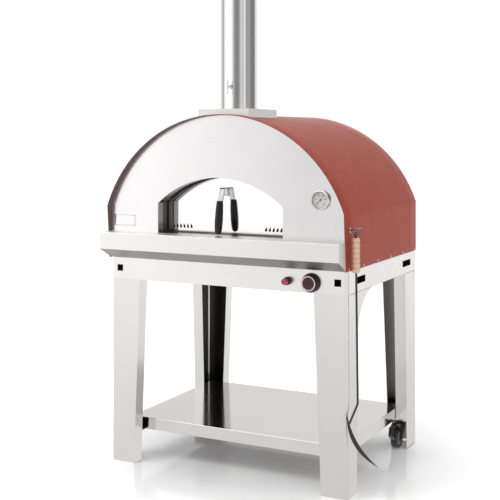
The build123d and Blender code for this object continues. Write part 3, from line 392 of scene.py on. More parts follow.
def softened(points, radius, closed=False, steps=5):   # rounds the corners of a line of points
    points = [Vector(p).to_3d() for p in points]
    radii = radius if isinstance(radius, (list, tuple)) else [radius] * len(points)
    line = []
    count = len(points)
    for i, corner in enumerate(points):
        if not closed and i in (0, count - 1) or radii[i] <= 0:
            line.append(corner)
            continue
        before = points[i - 1] - corner
        after = points[(i + 1) % count] - corner
        opening = before.angle(after)
        if opening > pi - 0.01:                        # nearly straight, so there is nothing to round
            line.append(corner)
            continue
        reach = min(radii[i] / tan(opening / 2), before.length * 0.48, after.length * 0.48)
        size = reach * tan(opening / 2)
        start = corner + before.normalized() * reach
        end = corner + after.normalized() * reach
        middle = corner + (before.normalized() + after.normalized()).normalized() * (size / sin(opening / 2))
        a, b = start - middle, end - middle
        sweep = a.angle(b)
        for k in range(steps + 1):
            t = k / steps
            line.append(middle + (a * sin((1 - t) * sweep) + b * sin(t * sweep)) / sin(sweep))
    return line


def arcPoints(centre, radius, start, end, steps):      # angles in degrees
    turns = [radians(start + (end - start) * k / steps) for k in range(steps + 1)]
    return [Vector((centre[0] + radius * cos(a), centre[1] + radius * sin(a), 0)) for a in turns]


facing = {
    "front": Matrix.Rotation(radians(90), 4, "X"),     # flat x, y and depth go to X, Z and -Y
    "side": Matrix(((0, 0, 1, 0), (1, 0, 0, 0), (0, 1, 0, 0), (0, 0, 0, 1))),   # to Y, Z and X
    "up": Matrix.Identity(4),
}

alongX = Matrix.Rotation(radians(90), 4, "Y")          # the upright axis goes to X


def weld(mesh, gap):
    shape = bmesh.new()
    shape.from_mesh(mesh)
    bmesh.ops.remove_doubles(shape, verts=shape.verts, dist=gap)
    bmesh.ops.dissolve_degenerate(shape, edges=shape.edges, dist=gap)
    bmesh.ops.recalc_face_normals(shape, faces=shape.faces)
    shape.to_mesh(mesh)
    shape.free()


def smooth(mesh, angle=32):
    mesh.shade_smooth()
    mesh.set_sharp_from_angle(angle=radians(angle))


def addPiece(name, mesh, finish, body, replaced=(), place=None, angle=32):      # mesh in millimetres
    weld(mesh, 1e-4)
    mesh.transform(Matrix.Scale(mm, 4))
    if place:
        mesh.transform(place)
    smooth(mesh, angle)
    mesh.materials.clear()
    mesh.materials.append(finishes[finish])
    piece = bpy.data.objects.new(name, mesh)
    scene.collection.objects.link(piece)
    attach(piece, body)
    if replaced:
        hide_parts(*replaced)
    return piece


def placed(x, y, z, way="up"):       # millimetres
    return Matrix.Translation((x * mm, y * mm, z * mm)) @ facing[way]


def turnTo(way):                     # the turn that takes the upright axis to this direction
    return Vector((0, 0, 1)).rotation_difference(way).to_matrix().to_4x4()


def evaluatedMesh(holder):           # what an object shows, as a plain mesh
    bpy.context.view_layer.update()
    return bpy.data.meshes.new_from_object(holder.evaluated_get(bpy.context.evaluated_depsgraph_get()))


def meshFrom(curve):
    holder = bpy.data.objects.new("holder", curve)
    scene.collection.objects.link(holder)
    mesh = evaluatedMesh(holder)
    bpy.data.objects.remove(holder)
    bpy.data.curves.remove(curve)
    return mesh


def flatMesh(loops, thickness, edge):    # a plate with softened edges, and holes for further loops
    curve = bpy.data.curves.new("plate", "CURVE")
    curve.dimensions = "2D"
    curve.fill_mode = "BOTH"
    curve.extrude = thickness / 2 - edge
    curve.bevel_depth = edge
    curve.bevel_resolution = 2
    curve.offset = -edge
    for loop in loops:
        spline = curve.splines.new("POLY")
        spline.points.add(len(loop) - 1)
        for point, spot in zip(spline.points, loop):
            point.co = (spot[0], spot[1], 0, 1)
        spline.use_cyclic_u = True
    return meshFrom(curve)


def tubeMesh(route, radius, sides=6):
    curve = bpy.data.curves.new("tube", "CURVE")
    curve.dimensions = "3D"
    curve.bevel_depth = radius
    curve.bevel_resolution = sides
    curve.use_fill_caps = True
    spline = curve.splines.new("POLY")
    spline.points.add(len(route) - 1)
    for point, spot in zip(spline.points, route):
        point.co = (*spot, 1)
    return meshFrom(curve)


def latheMesh(profile, steps=72, closed=False):   # (radius, height) points turned about the upright axis
    verts, faces, rings = [], [], []
    for radius, height in [(point[0], point[1]) for point in profile]:
        if radius < 1e-6:
            rings.append([len(verts)])
            verts.append((0, 0, height))
        else:
            rings.append(list(range(len(verts), len(verts) + steps)))
            turns = [2 * pi * k / steps for k in range(steps)]
            verts += [(radius * cos(turn), radius * sin(turn), height) for turn in turns]
    pairs = list(zip(rings, rings[1:]))
    if closed:
        pairs.append((rings[-1], rings[0]))
    for low, high in pairs:
        for k in range(steps):
            n = (k + 1) % steps
            if len(low) == 1 and len(high) > 1:
                faces.append((low[0], high[k], high[n]))
            elif len(high) == 1 and len(low) > 1:
                faces.append((low[k], low[n], high[0]))
            elif len(low) > 1:
                faces.append((low[k], low[n], high[n], high[k]))
    mesh = bpy.data.meshes.new("turned")
    mesh.from_pydata(verts, [], faces)
    return mesh


def joined(*meshes):
    shape = bmesh.new()
    for mesh in meshes:
        shape.from_mesh(mesh)
    whole = bpy.data.meshes.new("joined")
    shape.to_mesh(whole)
    shape.free()
    return whole


def moved(mesh, x=0, y=0, z=0, turn=None):
    if turn:
        mesh.transform(Matrix.Rotation(radians(turn[1]), 4, turn[0]))
    mesh.transform(Matrix.Translation((x, y, z)))
    return mesh


def ribbon(line, thickness):         # the outline of a bent strip from the line of its outer side
    inner = []
    for i, p in enumerate(line):
        along = line[min(i + 1, len(line) - 1)] - line[max(i - 1, 0)]
        inner.append(p + Vector((-along.y, along.x, 0)).normalized() * thickness)
    return line + inner[::-1]


# copies turned about the upright axis, by one node tree

def newTree(name, sockets):          # the geometry input has to be the first
    tree = bpy.data.node_groups.new(name, "GeometryNodeTree")
    tree.interface.new_socket("Geometry", in_out="INPUT", socket_type="NodeSocketGeometry")
    for socket, kind, value in sockets:
        made = tree.interface.new_socket(socket, in_out="INPUT", socket_type=kind)
        if value is not None:
            made.default_value = value
    tree.interface.new_socket("Geometry", in_out="OUTPUT", socket_type="NodeSocketGeometry")
    return tree, tree.nodes.new("NodeGroupInput").outputs, tree.nodes.new("NodeGroupOutput")


def closeTree(tree, instances, finish, out):
    real = addNode(tree, "GeometryNodeRealizeInstances", {"Geometry": instances})
    done = addNode(tree, "GeometryNodeSetMaterial", {"Geometry": real.outputs[0], "Material": finish})
    tree.links.new(done.outputs[0], out.inputs["Geometry"])


def treeMesh(mesh, tree, values):    # the mesh that a node tree makes of this one
    holder = bpy.data.objects.new("holder", mesh)
    scene.collection.objects.link(holder)
    modifier = holder.modifiers.new("tree", "NODES")
    modifier.node_group = tree
    for item in tree.interface.items_tree:
        if item.in_out == "INPUT" and item.name in values:
            modifier[item.identifier] = values[item.name]
    made = evaluatedMesh(holder)
    holder.modifiers.clear()
    bpy.data.objects.remove(holder)
    return made


def makeTurnTree():
    tree, given, out = newTree("turnedCopies", [
        ("Count", "NodeSocketInt", 6), ("First", "NodeSocketFloat", 0.0), ("Step", "NodeSocketFloat", 1.0),
        ("Finish", "NodeSocketMaterial", None)])
    points = addNode(tree, "GeometryNodePoints", {"Count": given["Count"]})
    index = addNode(tree, "GeometryNodeInputIndex").outputs[0]
    turn = maths(tree, "ADD", given["First"], times(tree, index, given["Step"]))
    spin = addNode(tree, "FunctionNodeEulerToRotation", {
        0: addNode(tree, "ShaderNodeCombineXYZ", {"Z": turn}).outputs[0]})
    copies = addNode(tree, "GeometryNodeInstanceOnPoints", {
        "Points": points.outputs[0], "Instance": given["Geometry"], "Rotation": spin.outputs[0]})
    closeTree(tree, copies.outputs[0], given["Finish"], out)
    return tree


turnTree = makeTurnTree()


def turnedCopies(mesh, count, first, step, finish):      # angles in degrees
    return treeMesh(mesh, turnTree, {
        "Count": count, "First": radians(first), "Step": radians(step), "Finish": finishes[finish]})


# arched hood

hoodShape = {
    "halfWidth": 535, "foot": 860, "radius": 567, "centre": 891,
    "front": -450, "setback": 17, "back": 413, "sheet": 2, "edge": 0.6,
    "arcSteps": 96, "wallSteps": 8, "lengthSteps": 10,
}


def makeHood(s):
    spring = s["centre"] + sqrt(s["radius"]**2 - s["halfWidth"]**2)      # where the wall turns into the arch
    lean = acos(s["halfWidth"] / s["radius"])
    angles = [lean + (pi - 2 * lean) * k / s["arcSteps"] for k in range(s["arcSteps"] + 1)]
    arc = [(s["radius"] * cos(a), s["centre"] + s["radius"] * sin(a)) for a in angles]
    rise = (spring - s["foot"]) / s["wallSteps"]
    wall = [(s["halfWidth"], s["foot"] + rise * k) for k in range(s["wallSteps"])]
    outline = wall + arc + [(-x, z) for x, z in reversed(wall)]
    verts, faces = [], []
    rows = s["lengthSteps"] + 1
    for x, z in outline:
        slant = s["setback"] * max(0.0, (spring - z) / (spring - s["foot"]))
        front = s["front"] + slant
        verts += [(x, front + (s["back"] - front) * k / s["lengthSteps"], z) for k in range(rows)]
    for i in range(len(outline) - 1):
        for k in range(rows - 1):
            a = i * rows + k
            faces.append((a, a + 1, a + rows + 1, a + rows))
    mesh = bpy.data.meshes.new("hood")
    mesh.from_pydata(verts, [], faces)
    hood = addPiece("hoodSkin", mesh, "hoodPaint", "oven", ["hood_cover"])
    if max(hood.data.polygons, key=lambda face: face.center.z).normal.z < 0:      # the crown faces up
        hood.data.flip_normals()
    wallModifier = hood.modifiers.new("wall", "SOLIDIFY")
    wallModifier.thickness = s["sheet"] * mm
    wallModifier.offset = -1
    wallModifier.use_even_offset = True
    edge = hood.modifiers.new("edge", "BEVEL")
    edge.width = s["edge"] * mm
    edge.segments = 2
    edge.limit_method = "ANGLE"
    edge.angle_limit = radians(50)


makeHood(hoodShape)
print("hood made")


# flue pipe, its base ring and the rain cap

flueShape = {
    "y": -273, "radius": 75, "wall": 1.5, "foot": 1446, "top": 1985, "seamFoot": 1486,
    "ringFoot": 1480, "ringHeight": 4, "ringRadius": 78.5,
    "capRadius": 130, "capEave": 2040, "capPeak": 2105, "capRim": 8, "bandLow": 1940, "bandHigh": 1970,
    "straps": 3, "strapWidth": 20, "firstStrap": 90, "strapReach": (88, 112),
}


def makeFlue(s):
    wide, foot, top = s["radius"], s["foot"], s["top"]
    inner = wide - s["wall"]
    outline = [(wide, foot), (wide, foot + 2), (wide, top - 2), (wide, top), (inner, top), (inner, foot)]
    pipe = softened(outline, [0.6, 0, 0, 0.6, 0.6, 0.6], closed=True, steps=3)
    low, high, rim = s["ringFoot"], s["ringFoot"] + s["ringHeight"], s["ringRadius"]
    ring = softened([(wide + 0.1, low), (rim, low), (rim, high), (wide + 0.1, high)], 1.2, closed=True)
    low, high = s["seamFoot"], s["bandLow"] - 2
    seam = flatMesh([[(-1.2, low), (1.2, low), (1.2, high), (-1.2, high)]], 0.9, 0.3)
    place = placed(0, s["y"], 0)
    for name, mesh, replaced, where in (
            ("fluePipe", latheMesh(pipe, 128, closed=True), ["flue_pipe"], place),
            ("flueBaseRing", latheMesh(ring, 128, closed=True), (), place),
            ("flueSeam", moved(seam, 0, 0, -wide), (), placed(0, s["y"], 0, "front"))):
        addPiece(name, mesh, "mirrorSteel", "oven", replaced, where)


def makeRainCap(s):
    rim, eave, peak, lip = s["capRadius"], s["capEave"], s["capPeak"], s["capEave"] - s["capRim"]
    cone = softened([(0, peak), (rim, eave), (rim, lip), (rim - 1.5, lip), (rim - 1.5, eave - 1.5),
                     (0, peak - 2.5)], [0, 5, 0.6, 0.6, 4, 0])
    wide, low, high = s["radius"], s["bandLow"], s["bandHigh"]
    band = softened([(wide + 0.1, low), (wide + 2, low), (wide + 2, high), (wide + 0.1, high)], 0.5,
                    closed=True)
    near, far = s["strapReach"]
    top = peak - (peak - eave) * near / rim - 3
    outer = softened([(wide + 2.4, low + 2), (wide + 2.4, high + 24), (near, top - 6), (far, top - 17)], 8)
    back = [p + Vector((1.6, -0.9, 0)) for p in reversed(outer)]
    strap = flatMesh([outer + back], s["strapWidth"], 0.3)
    strap.transform(facing["front"])
    straps = turnedCopies(strap, s["straps"], s["firstStrap"], 360 / s["straps"], "mirrorSteel")
    addPiece("rainCap", joined(latheMesh(cone, 96), latheMesh(band, 96, closed=True), straps),
             "mirrorSteel", "oven", ["rain_cap"], placed(0, s["y"], 0))


makeFlue(flueShape)
makeRainCap(flueShape)
print("flue made")


# door handle: bent chrome strap and moulded grip

handleShape = {
    "x": -22, "doorFace": -340, "strapWidth": 22, "strapThickness": 3,
    "strapLine": [(0, 1128), (0, 1162), (36, 1162), (55, 1104), (59, 1076)],   # stand-off, height
    "gripTop": (58, 1110), "gripBottom": (74, 975),
    "gripRadii": [(0.0, 0.0), (0.0, 11.5), (0.02, 12.9), (0.15, 14.3), (0.35, 15.8), (0.6, 16.5),
                  (0.8, 15.5), (0.92, 13.2), (0.97, 10.5), (0.993, 5.5), (1.0, 0.0)],
}


def makeHandle(s):
    line = softened([(-d, z, 0) for d, z in s["strapLine"]], [0, 7, 8, 20, 0])
    strap = flatMesh([ribbon(line, s["strapThickness"])], s["strapWidth"], 0.5)
    addPiece("doorStrap", strap, "strapChrome", "door", ["door_bracket"],
             placed(s["x"], s["doorFace"], 0, "side"))
    top, low = [Vector((s["x"], s["doorFace"] - out, z)) for out, z in (s["gripTop"], s["gripBottom"])]
    length = (low - top).length
    outline = softened([(r, t * length) for t, r in s["gripRadii"]], [0, 1.5] + [12] * 7 + [4, 0], steps=4)
    place = Matrix.Translation(top * mm) @ turnTo(low - top)
    addPiece("doorGrip", latheMesh(outline, 64), "blackGrip", "door", ["door_grip"],
             place, angle=50)


makeHandle(handleShape)
print("door handle made")


# dial thermometer

gaugeShape = {
    "x": 429, "z": 1128, "face": -421, "radius": 37.5, "depth": 14, "dialRadius": 33, "glassRadius": 33.2,
    "firstAngle": 225, "sweep": 270, "top": 500, "step": 100, "numberSize": 6.4, "numberRadius": 19.5,
    "needleTurn": 45, "markRadius": 29.5, "marks": 50, "inkLevel": 4.08,
    "markRows": [(4.2, 0.75, 0, 10), (3.0, 0.4, 5, 10),          # length, width, first, every how many
                 (1.8, 0.4, 1, 5), (1.8, 0.4, 2, 5), (1.8, 0.4, 3, 5), (1.8, 0.4, 4, 5)],
    "probe": [(0, 0, -20), (-79, -13, -186)], "probeRadius": 2.5,
}


def makeDialMarks(s):
    inked = []
    rim, apart = s["markRadius"], s["sweep"] / s["marks"]
    for length, width, first, every in s["markRows"]:
        foot, half = rim - length, width / 2
        mark = flatMesh([[(foot, -half), (rim, -half), (rim, half), (foot, half)]], 0.24, 0.05)
        count = (s["marks"] - first) // every + 1
        row = turnedCopies(mark, count, s["firstAngle"] - apart * first, -apart * every, "inkBlack")
        inked.append(moved(row, z=s["inkLevel"]))
    for value in range(0, s["top"] + 1, s["step"]):
        text = bpy.data.curves.new("figure", "FONT")
        text.body = str(value)
        text.size = s["numberSize"]
        text.align_x = "CENTER"
        text.align_y = "CENTER"
        text.extrude = 0.1
        text.resolution_u = 3
        turn, out = radians(s["firstAngle"] - s["sweep"] * value / s["top"]), s["numberRadius"]
        inked.append(moved(meshFrom(text), out * cos(turn), out * sin(turn), s["inkLevel"]))
    return joined(*inked)


def makeGauge(s):
    depth, wide, clear = s["depth"], s["radius"], s["glassRadius"]
    place = placed(s["x"], s["face"], s["z"], "front")
    case = softened([(0, 0), (35.5, 0), (35.5, 3), (wide, 4.5), (wide, depth - 2), (wide - 2.5, depth),
                     (33.6, depth), (32.2, depth - 2.4), (33.4, depth - 2.9), (33.4, 3), (0, 3)],
                    [0, 0.8, 1, 1, 2.2, 1.2, 0.8, 0.6, 0.2, 0.3, 0])
    stem = latheMesh([(0, -20), (6.9, -20), (6.9, 0.5), (0, 0.5)], 32)
    nut = latheMesh(softened([(0, -18), (12.5, -18), (12.5, -10), (0, -10)], [0, 1, 1, 0]), 6)
    probe = tubeMesh(s["probe"], s["probeRadius"])
    whole = joined(latheMesh(case, 96), stem, nut, probe)
    dial = softened([(0, 3), (s["dialRadius"], 3), (s["dialRadius"], 4), (0, 4)], [0, 0.3, 0.3, 0])
    glass = softened([(0, depth - 4.2), (clear, depth - 4.2), (clear, depth - 2.7), (0, depth - 2.7)],
                     [0, 0.2, 0.2, 0])
    blade = flatMesh([[(-1.3, 8), (1.3, 8), (0.45, -26.5), (-0.45, -26.5)]], 0.8, 0.15)
    hub = latheMesh(softened([(0, 0), (3.2, 0), (3.0, 2.4), (0, 2.8)], [0, 0.4, 0.8, 0]), 32)
    needle = moved(joined(moved(blade, z=1.2), hub), turn=("Z", -s["needleTurn"]))
    for name, mesh, finish, body, slot, replaced in (
            ("gaugeCase", whole, "chromed", "oven", "chromed", ["gauge_case"]),
            ("gaugeDial", latheMesh(dial, 72), "dialWhite", "oven", "dial_white", ["gauge_dial"]),
            ("gaugeMarks", makeDialMarks(s), "inkBlack", "oven", "needle_black", ()),
            ("gaugeNeedle", moved(needle, z=4.6), "inkBlack", "needle", "needle_black", ["gauge_needle"]),
            ("gaugeGlass", latheMesh(glass, 72), "dialGlass", "oven", "clear_glass", ["gauge_glass"])):
        addPiece(name, mesh, finish, body, replaced, place)


makeGauge(gaugeShape)
print("thermometer made")


# gas knob and igniter

controlShape = {
    "knobX": 385, "knobZ": 810, "apron": -413, "knobRadius": 37, "knobOut": 30, "ringRadius": 29, "ridges": 24,
    "igniterX": 286, "igniterZ": 811, "collarRadius": 16, "buttonRadius": 12, "buttonOut": 38,
}


def makeKnob(s):
    wide, out, ring = s["knobRadius"], s["knobOut"], s["ringRadius"]
    place = placed(s["knobX"], s["apron"], s["knobZ"], "front")
    skirt = softened([(4.1, 5), (wide, 5), (wide, 9.5), (31, out - 4), (ring - 0.5, out - 2.2),
                      (4.1, out - 2.2)], [0, 1, 2.5, 3, 0.5, 0], closed=True)
    ridge = tubeMesh([(31.4, 0, out - 7), (35.4, 0, 11.5)], 0.9, sides=2)
    ridges = turnedCopies(ridge, s["ridges"], 0, 360 / s["ridges"], "knobBlack")
    ridged = joined(latheMesh(skirt, 96, closed=True), ridges)
    rim = softened([(ring - 5, out - 4), (ring, out - 4), (ring, out), (ring - 5, out)], 1.1, closed=True)
    cap = softened([(0, out - 5), (ring - 4.8, out - 5), (ring - 4.8, out - 1.6), (0, out - 2.6)],
                   [0, 0.3, 1, 0])
    pointer = flatMesh([[(-1.2, 9), (1.2, 9), (1.2, 21), (-1.2, 21)]], 0.8, 0.2)
    for name, mesh, finish, slot, replaced in (
            ("knobSkirt", ridged, "knobBlack", "knob_brown", ["gas_knob"]),
            ("knobRing", latheMesh(rim, 96, closed=True), "roseChrome", "chromed", ()),
            ("knobCap", latheMesh(cap, 72), "knobBrown", "knob_brown", ()),
            ("knobPointer", moved(pointer, z=out - 1.9), "knobBlack", "knob_brown", ())):
        addPiece(name, mesh, finish, "knob", replaced, place)


def makeIgniter(s):
    place = placed(s["igniterX"], s["apron"], s["igniterZ"], "front")
    wide, push, top = s["collarRadius"], s["buttonRadius"], s["buttonOut"]
    bore = push + 0.3
    collar = softened([(bore, 0.1), (wide, 0.1), (wide, 12), (14.4, 17), (bore, 17)], [0, 0.6, 2, 1.2, 0.5],
                      closed=True)
    barrel = softened([(0, -48), (10, -48), (10, 3), (0, 3)], [0, 1.5, 0.5, 0])
    nut = softened([(0, -8), (17, -8), (17, -2), (0, -2)], [0, 1, 1, 0])
    body = joined(latheMesh(collar, 64, closed=True), latheMesh(barrel, 48), latheMesh(nut, 6))
    addPiece("igniterCollar", body, "knobBlack", "oven", ["igniter_body"], place)
    button = softened([(0, 9), (push, 9), (push, top), (0, top)], [0, 0.5, 3.5, 0], steps=8)
    addPiece("igniterButton", latheMesh(button, 64), "buttonRed", "igniter_button",
             ["igniter_button"], place)


makeKnob(controlShape)
makeIgniter(controlShape)
print("controls made")


# rear castors

castorShape = {
    "x": 486, "y": 335, "trail": 40, "wheelRadius": 42, "treadEdge": 37, "wheelWidth": 30, "hubRadius": 25.95,
    "axle": 4.05, "bossRadius": 9.5, "rimInside": 20.5, "ribs": 6, "ribThickness": 2.6,
    "pedalWidth": 22, "pedalThickness": 3, "pedalLine": [(-54, 100), (-110, 105), (-125, 70), (-97, 49)],
    "pivot": (-54, 94), "sleeve": (3.05, 6.2), "sleeveWidth": 22,
}


def makeWheel(side, s, axis):
    half, wide, hubRim, tread = s["wheelWidth"] / 2, s["wheelRadius"], s["hubRadius"], s["treadEdge"]
    seat = hubRim + 0.05
    tyre = softened([(seat, -half + 1), (tread, -half), (wide, -half + 1), (wide, half - 1), (tread, half),
                     (seat, half - 1)], [0.6, 3, 6, 6, 3, 0.6], closed=True)
    addPiece(side + "Tyre", latheMesh(tyre, 96, closed=True), "wheelRubber", side + "_wheel",
             [side + "_castor_tread"], axis)
    boss, rim, axle = s["bossRadius"], s["rimInside"], s["axle"]
    face = [(axle, half), (boss - 1, half), (boss, 5), (rim - 1.5, 5), (rim, half - 1), (hubRim, half - 1)]
    hub = softened([(r, -z) for r, z in face] + face[::-1], 1.0, closed=True, steps=3)
    low, high = -half + 2.5, half - 2.5
    rib = flatMesh([[(8, low), (21, low), (21, high), (8, high)]], s["ribThickness"], 0.5)
    rib.transform(facing["front"])
    ribs = turnedCopies(rib, s["ribs"], 0, 360 / s["ribs"], "hubGrey")
    addPiece(side + "Hub", joined(latheMesh(hub, 72, closed=True), ribs), "hubGrey", side + "_wheel",
             [side + "_castor_hub"], axis)


def makePedal(side, s, place):
    strap = flatMesh([ribbon(softened(s["pedalLine"], 9), s["pedalThickness"])], s["pedalWidth"], 0.5)
    bore, wide = s["sleeve"]
    half = s["sleeveWidth"] / 2
    outline = softened([(bore, -half), (wide, -half), (wide, half), (bore, half)], 0.5, closed=True)
    sleeve = moved(latheMesh(outline, 40, closed=True), *s["pivot"])
    addPiece(side + "Pedal", joined(strap, sleeve), "castorBlack", side + "_brake",
             [side + "_castor_brake"], place)


def makeCastor(side, s):
    x, y = s["x"] if side == "right" else -s["x"], s["y"]
    axle = Matrix.Translation((x * mm, (y - s["trail"]) * mm, s["wheelRadius"] * mm))
    makeWheel(side, s, axle @ alongX)
    makePedal(side, s, placed(x, y, 0, "side"))


for side in castorSides:
    makeCastor(side, castorShape)
print("castors made")


# rake on its peg

rakeShape = {
    "x": 560, "y": -396, "ringZ": 1014, "ringRadius": 11, "wire": 1.6, "hoodSide": 535,
    "pegRadius": 3.5, "pegLength": 48, "pegRise": 10, "washerRadius": 12, "washerThickness": 3, "lean": 1.9,
    "beads": 7, "beadSteps": 12, "grooveRadius": 12.4, "beadRadius": 15.8, "handleTop": 988, "handleBottom": 856,
    "rodRadius": 4, "eyeRadius": 6, "eyeWire": 2, "eyeSlack": 2.0, "bend": 358, "foot": (-10, -64, -60),
    "bladeHigh": (541, 339), "bladeLow": (662, 152), "bladeThickness": 3, "bladeOut": 60,
    "bladeSteps": 32, "outerBulge": 40, "innerBulge": 23,
}


def makePeg(s):
    rise, wide, length = radians(s["pegRise"]), s["pegRadius"], s["pegLength"]
    level = s["ringZ"] + s["ringRadius"] - s["wire"] - 0.3 - wide / cos(rise)
    foot = Vector((s["hoodSide"] + 1, s["y"], level - (s["x"] - s["hoodSide"] - 1) * tan(rise)))
    along = Vector((cos(rise), 0, sin(rise)))
    peg = latheMesh(softened([(0, 0), (wide, 0), (wide, length), (0, length)], [0, 0, 1.5, 0]), 32)
    peg.transform(Matrix.Translation(foot) @ turnTo(along))
    rim, thick = s["washerRadius"], s["washerThickness"]
    washer = latheMesh(softened([(0, 0), (rim, 0), (rim, thick), (0, thick)], [0, 0.2, 1.2, 0]), 48)
    washer.transform(Matrix.Translation((s["hoodSide"], s["y"], foot.z)) @ alongX)
    addPiece("rakePeg", joined(peg, washer), "ringSteel", "oven", ["rake_hook"])


def makeRing(s):
    wire = arcPoints((s["ringRadius"], 0), s["wire"], 0, 345, 23)
    place = Matrix.Translation((s["x"] * mm, s["y"] * mm, s["ringZ"] * mm)) @ alongX
    addPiece("rakeRing", latheMesh(wire, 64, closed=True), "ringSteel", "rake_ring", ["rake_ring"],
             place, angle=60)


def makeRakeHandle(s, low, hang):
    top, bottom = s["handleTop"] - low, s["handleBottom"] - low
    pitch = (top - bottom) / s["beads"]
    groove, crown, bore = s["grooveRadius"], s["beadRadius"], s["rodRadius"] + 0.05
    outline = [(bore, bottom)]
    for i in range(s["beads"]):
        base = bottom + i * pitch
        for k in range(s["beadSteps"] + 1):
            t = k / s["beadSteps"]
            swell = (crown - groove) * sqrt(max(0, sin(pi * t)))
            outline.append((groove + swell, base + pitch * (0.04 + 0.92 * t)))
    outline.append((bore, top))
    addPiece("rakeHandle", latheMesh(outline, 56, closed=True), "turnedBeech", "rake", ["rake_handle"],
             hang, angle=60)


def makeRakeRod(s, low, hang):
    eyeCentre = s["wire"] + s["eyeSlack"] + s["eyeWire"] - s["eyeRadius"]
    eye = latheMesh(arcPoints((s["eyeRadius"], 0), s["eyeWire"], 0, 340, 17), 48, closed=True)
    eye.transform(Matrix.Translation((0, 0, eyeCentre)) @ Matrix.Rotation(radians(90), 4, "X"))
    bend = Vector((0, 0, s["bend"] - low))
    route = [(0, 0, eyeCentre - s["eyeRadius"]), bend, bend + Vector(s["foot"])]
    rod = tubeMesh(softened(route, 16, steps=10), s["rodRadius"])
    origin = Vector((s["x"], low))
    high, tip = Vector(s["bladeHigh"]) - origin, Vector(s["bladeLow"]) - origin
    chord = tip - high
    across = Vector((chord.y, -chord.x)).normalized()
    steps = s["bladeSteps"]
    outer = [(k / steps, s["outerBulge"]) for k in range(steps + 1)]
    inner = [(1 - k / steps, s["innerBulge"]) for k in range(1, steps)]
    crescent = [high + chord * t + across * (bulge * 4 * t * (1 - t)) for t, bulge in outer + inner]
    blade = flatMesh([crescent], s["bladeThickness"], 0.5)
    blade.transform(facing["front"])
    moved(blade, y=-s["bladeOut"] - s["rodRadius"] - s["bladeThickness"] / 2 + 0.5)
    addPiece("rakeRod", joined(eye, rod, blade), "blackened", "rake", ["rake_rod"], hang, angle=40)


def makeRake(s):
    low = s["ringZ"] - s["ringRadius"]
    lean = Matrix.Rotation(radians(s["lean"]), 4, "X")
    hang = Matrix.Translation((s["x"] * mm, s["y"] * mm, low * mm)) @ lean
    makePeg(s)
    makeRing(s)
    makeRakeHandle(s, low, hang)
    makeRakeRod(s, low, hang)


makeRake(rakeShape)
print("rake made")


# bare plate on the front

plateShape = {
    "left": -517, "right": -411, "bottom": 994, "top": 1043, "face": -421, "thickness": 1.5, "corner": 3,
    "border": (2.0, 4.6), "borderThickness": 0.3,
}


def makeNamePlate(s):
    left, right, low, high, thick = s["left"], s["right"], s["bottom"], s["top"], s["thickness"]
    place = placed(0, s["face"], 0, "front")
    corners = softened([(left, low), (right, low), (right, high), (left, high)], s["corner"], closed=True)
    plate = flatMesh([corners], thick, 0.4)
    addPiece("barePlate", moved(plate, z=thick / 2), "mirrorSteel", "oven", ["name_plate"], place)
    loops = [[(left + inset, low + inset), (right - inset, low + inset), (right - inset, high - inset),
              (left + inset, high - inset)] for inset in s["border"]]
    border = flatMesh(loops, s["borderThickness"], 0.05)
    addPiece("plateBorder", moved(border, z=thick + 0.1), "zincBolt", "oven", (), place)


makeNamePlate(plateShape)


# sheet that closes the base from below

baseSheet = {"halfWidth": 531, "halfDepth": 409, "level": 772.1, "thickness": 1.5, "corner": 14}


def makeBaseSheet(s):
    corners = [(x * s["halfWidth"], y * s["halfDepth"]) for x, y in ((-1, -1), (1, -1), (1, 1), (-1, 1))]
    plate = flatMesh([softened(corners, s["corner"], closed=True)], s["thickness"], 0.3)
    addPiece("undersideSheet", plate, "crossSteel", "oven", (),
             placed(0, 0, s["level"] + s["thickness"] / 2))


makeBaseSheet(baseSheet)


# screws and rivets, set out by one node tree

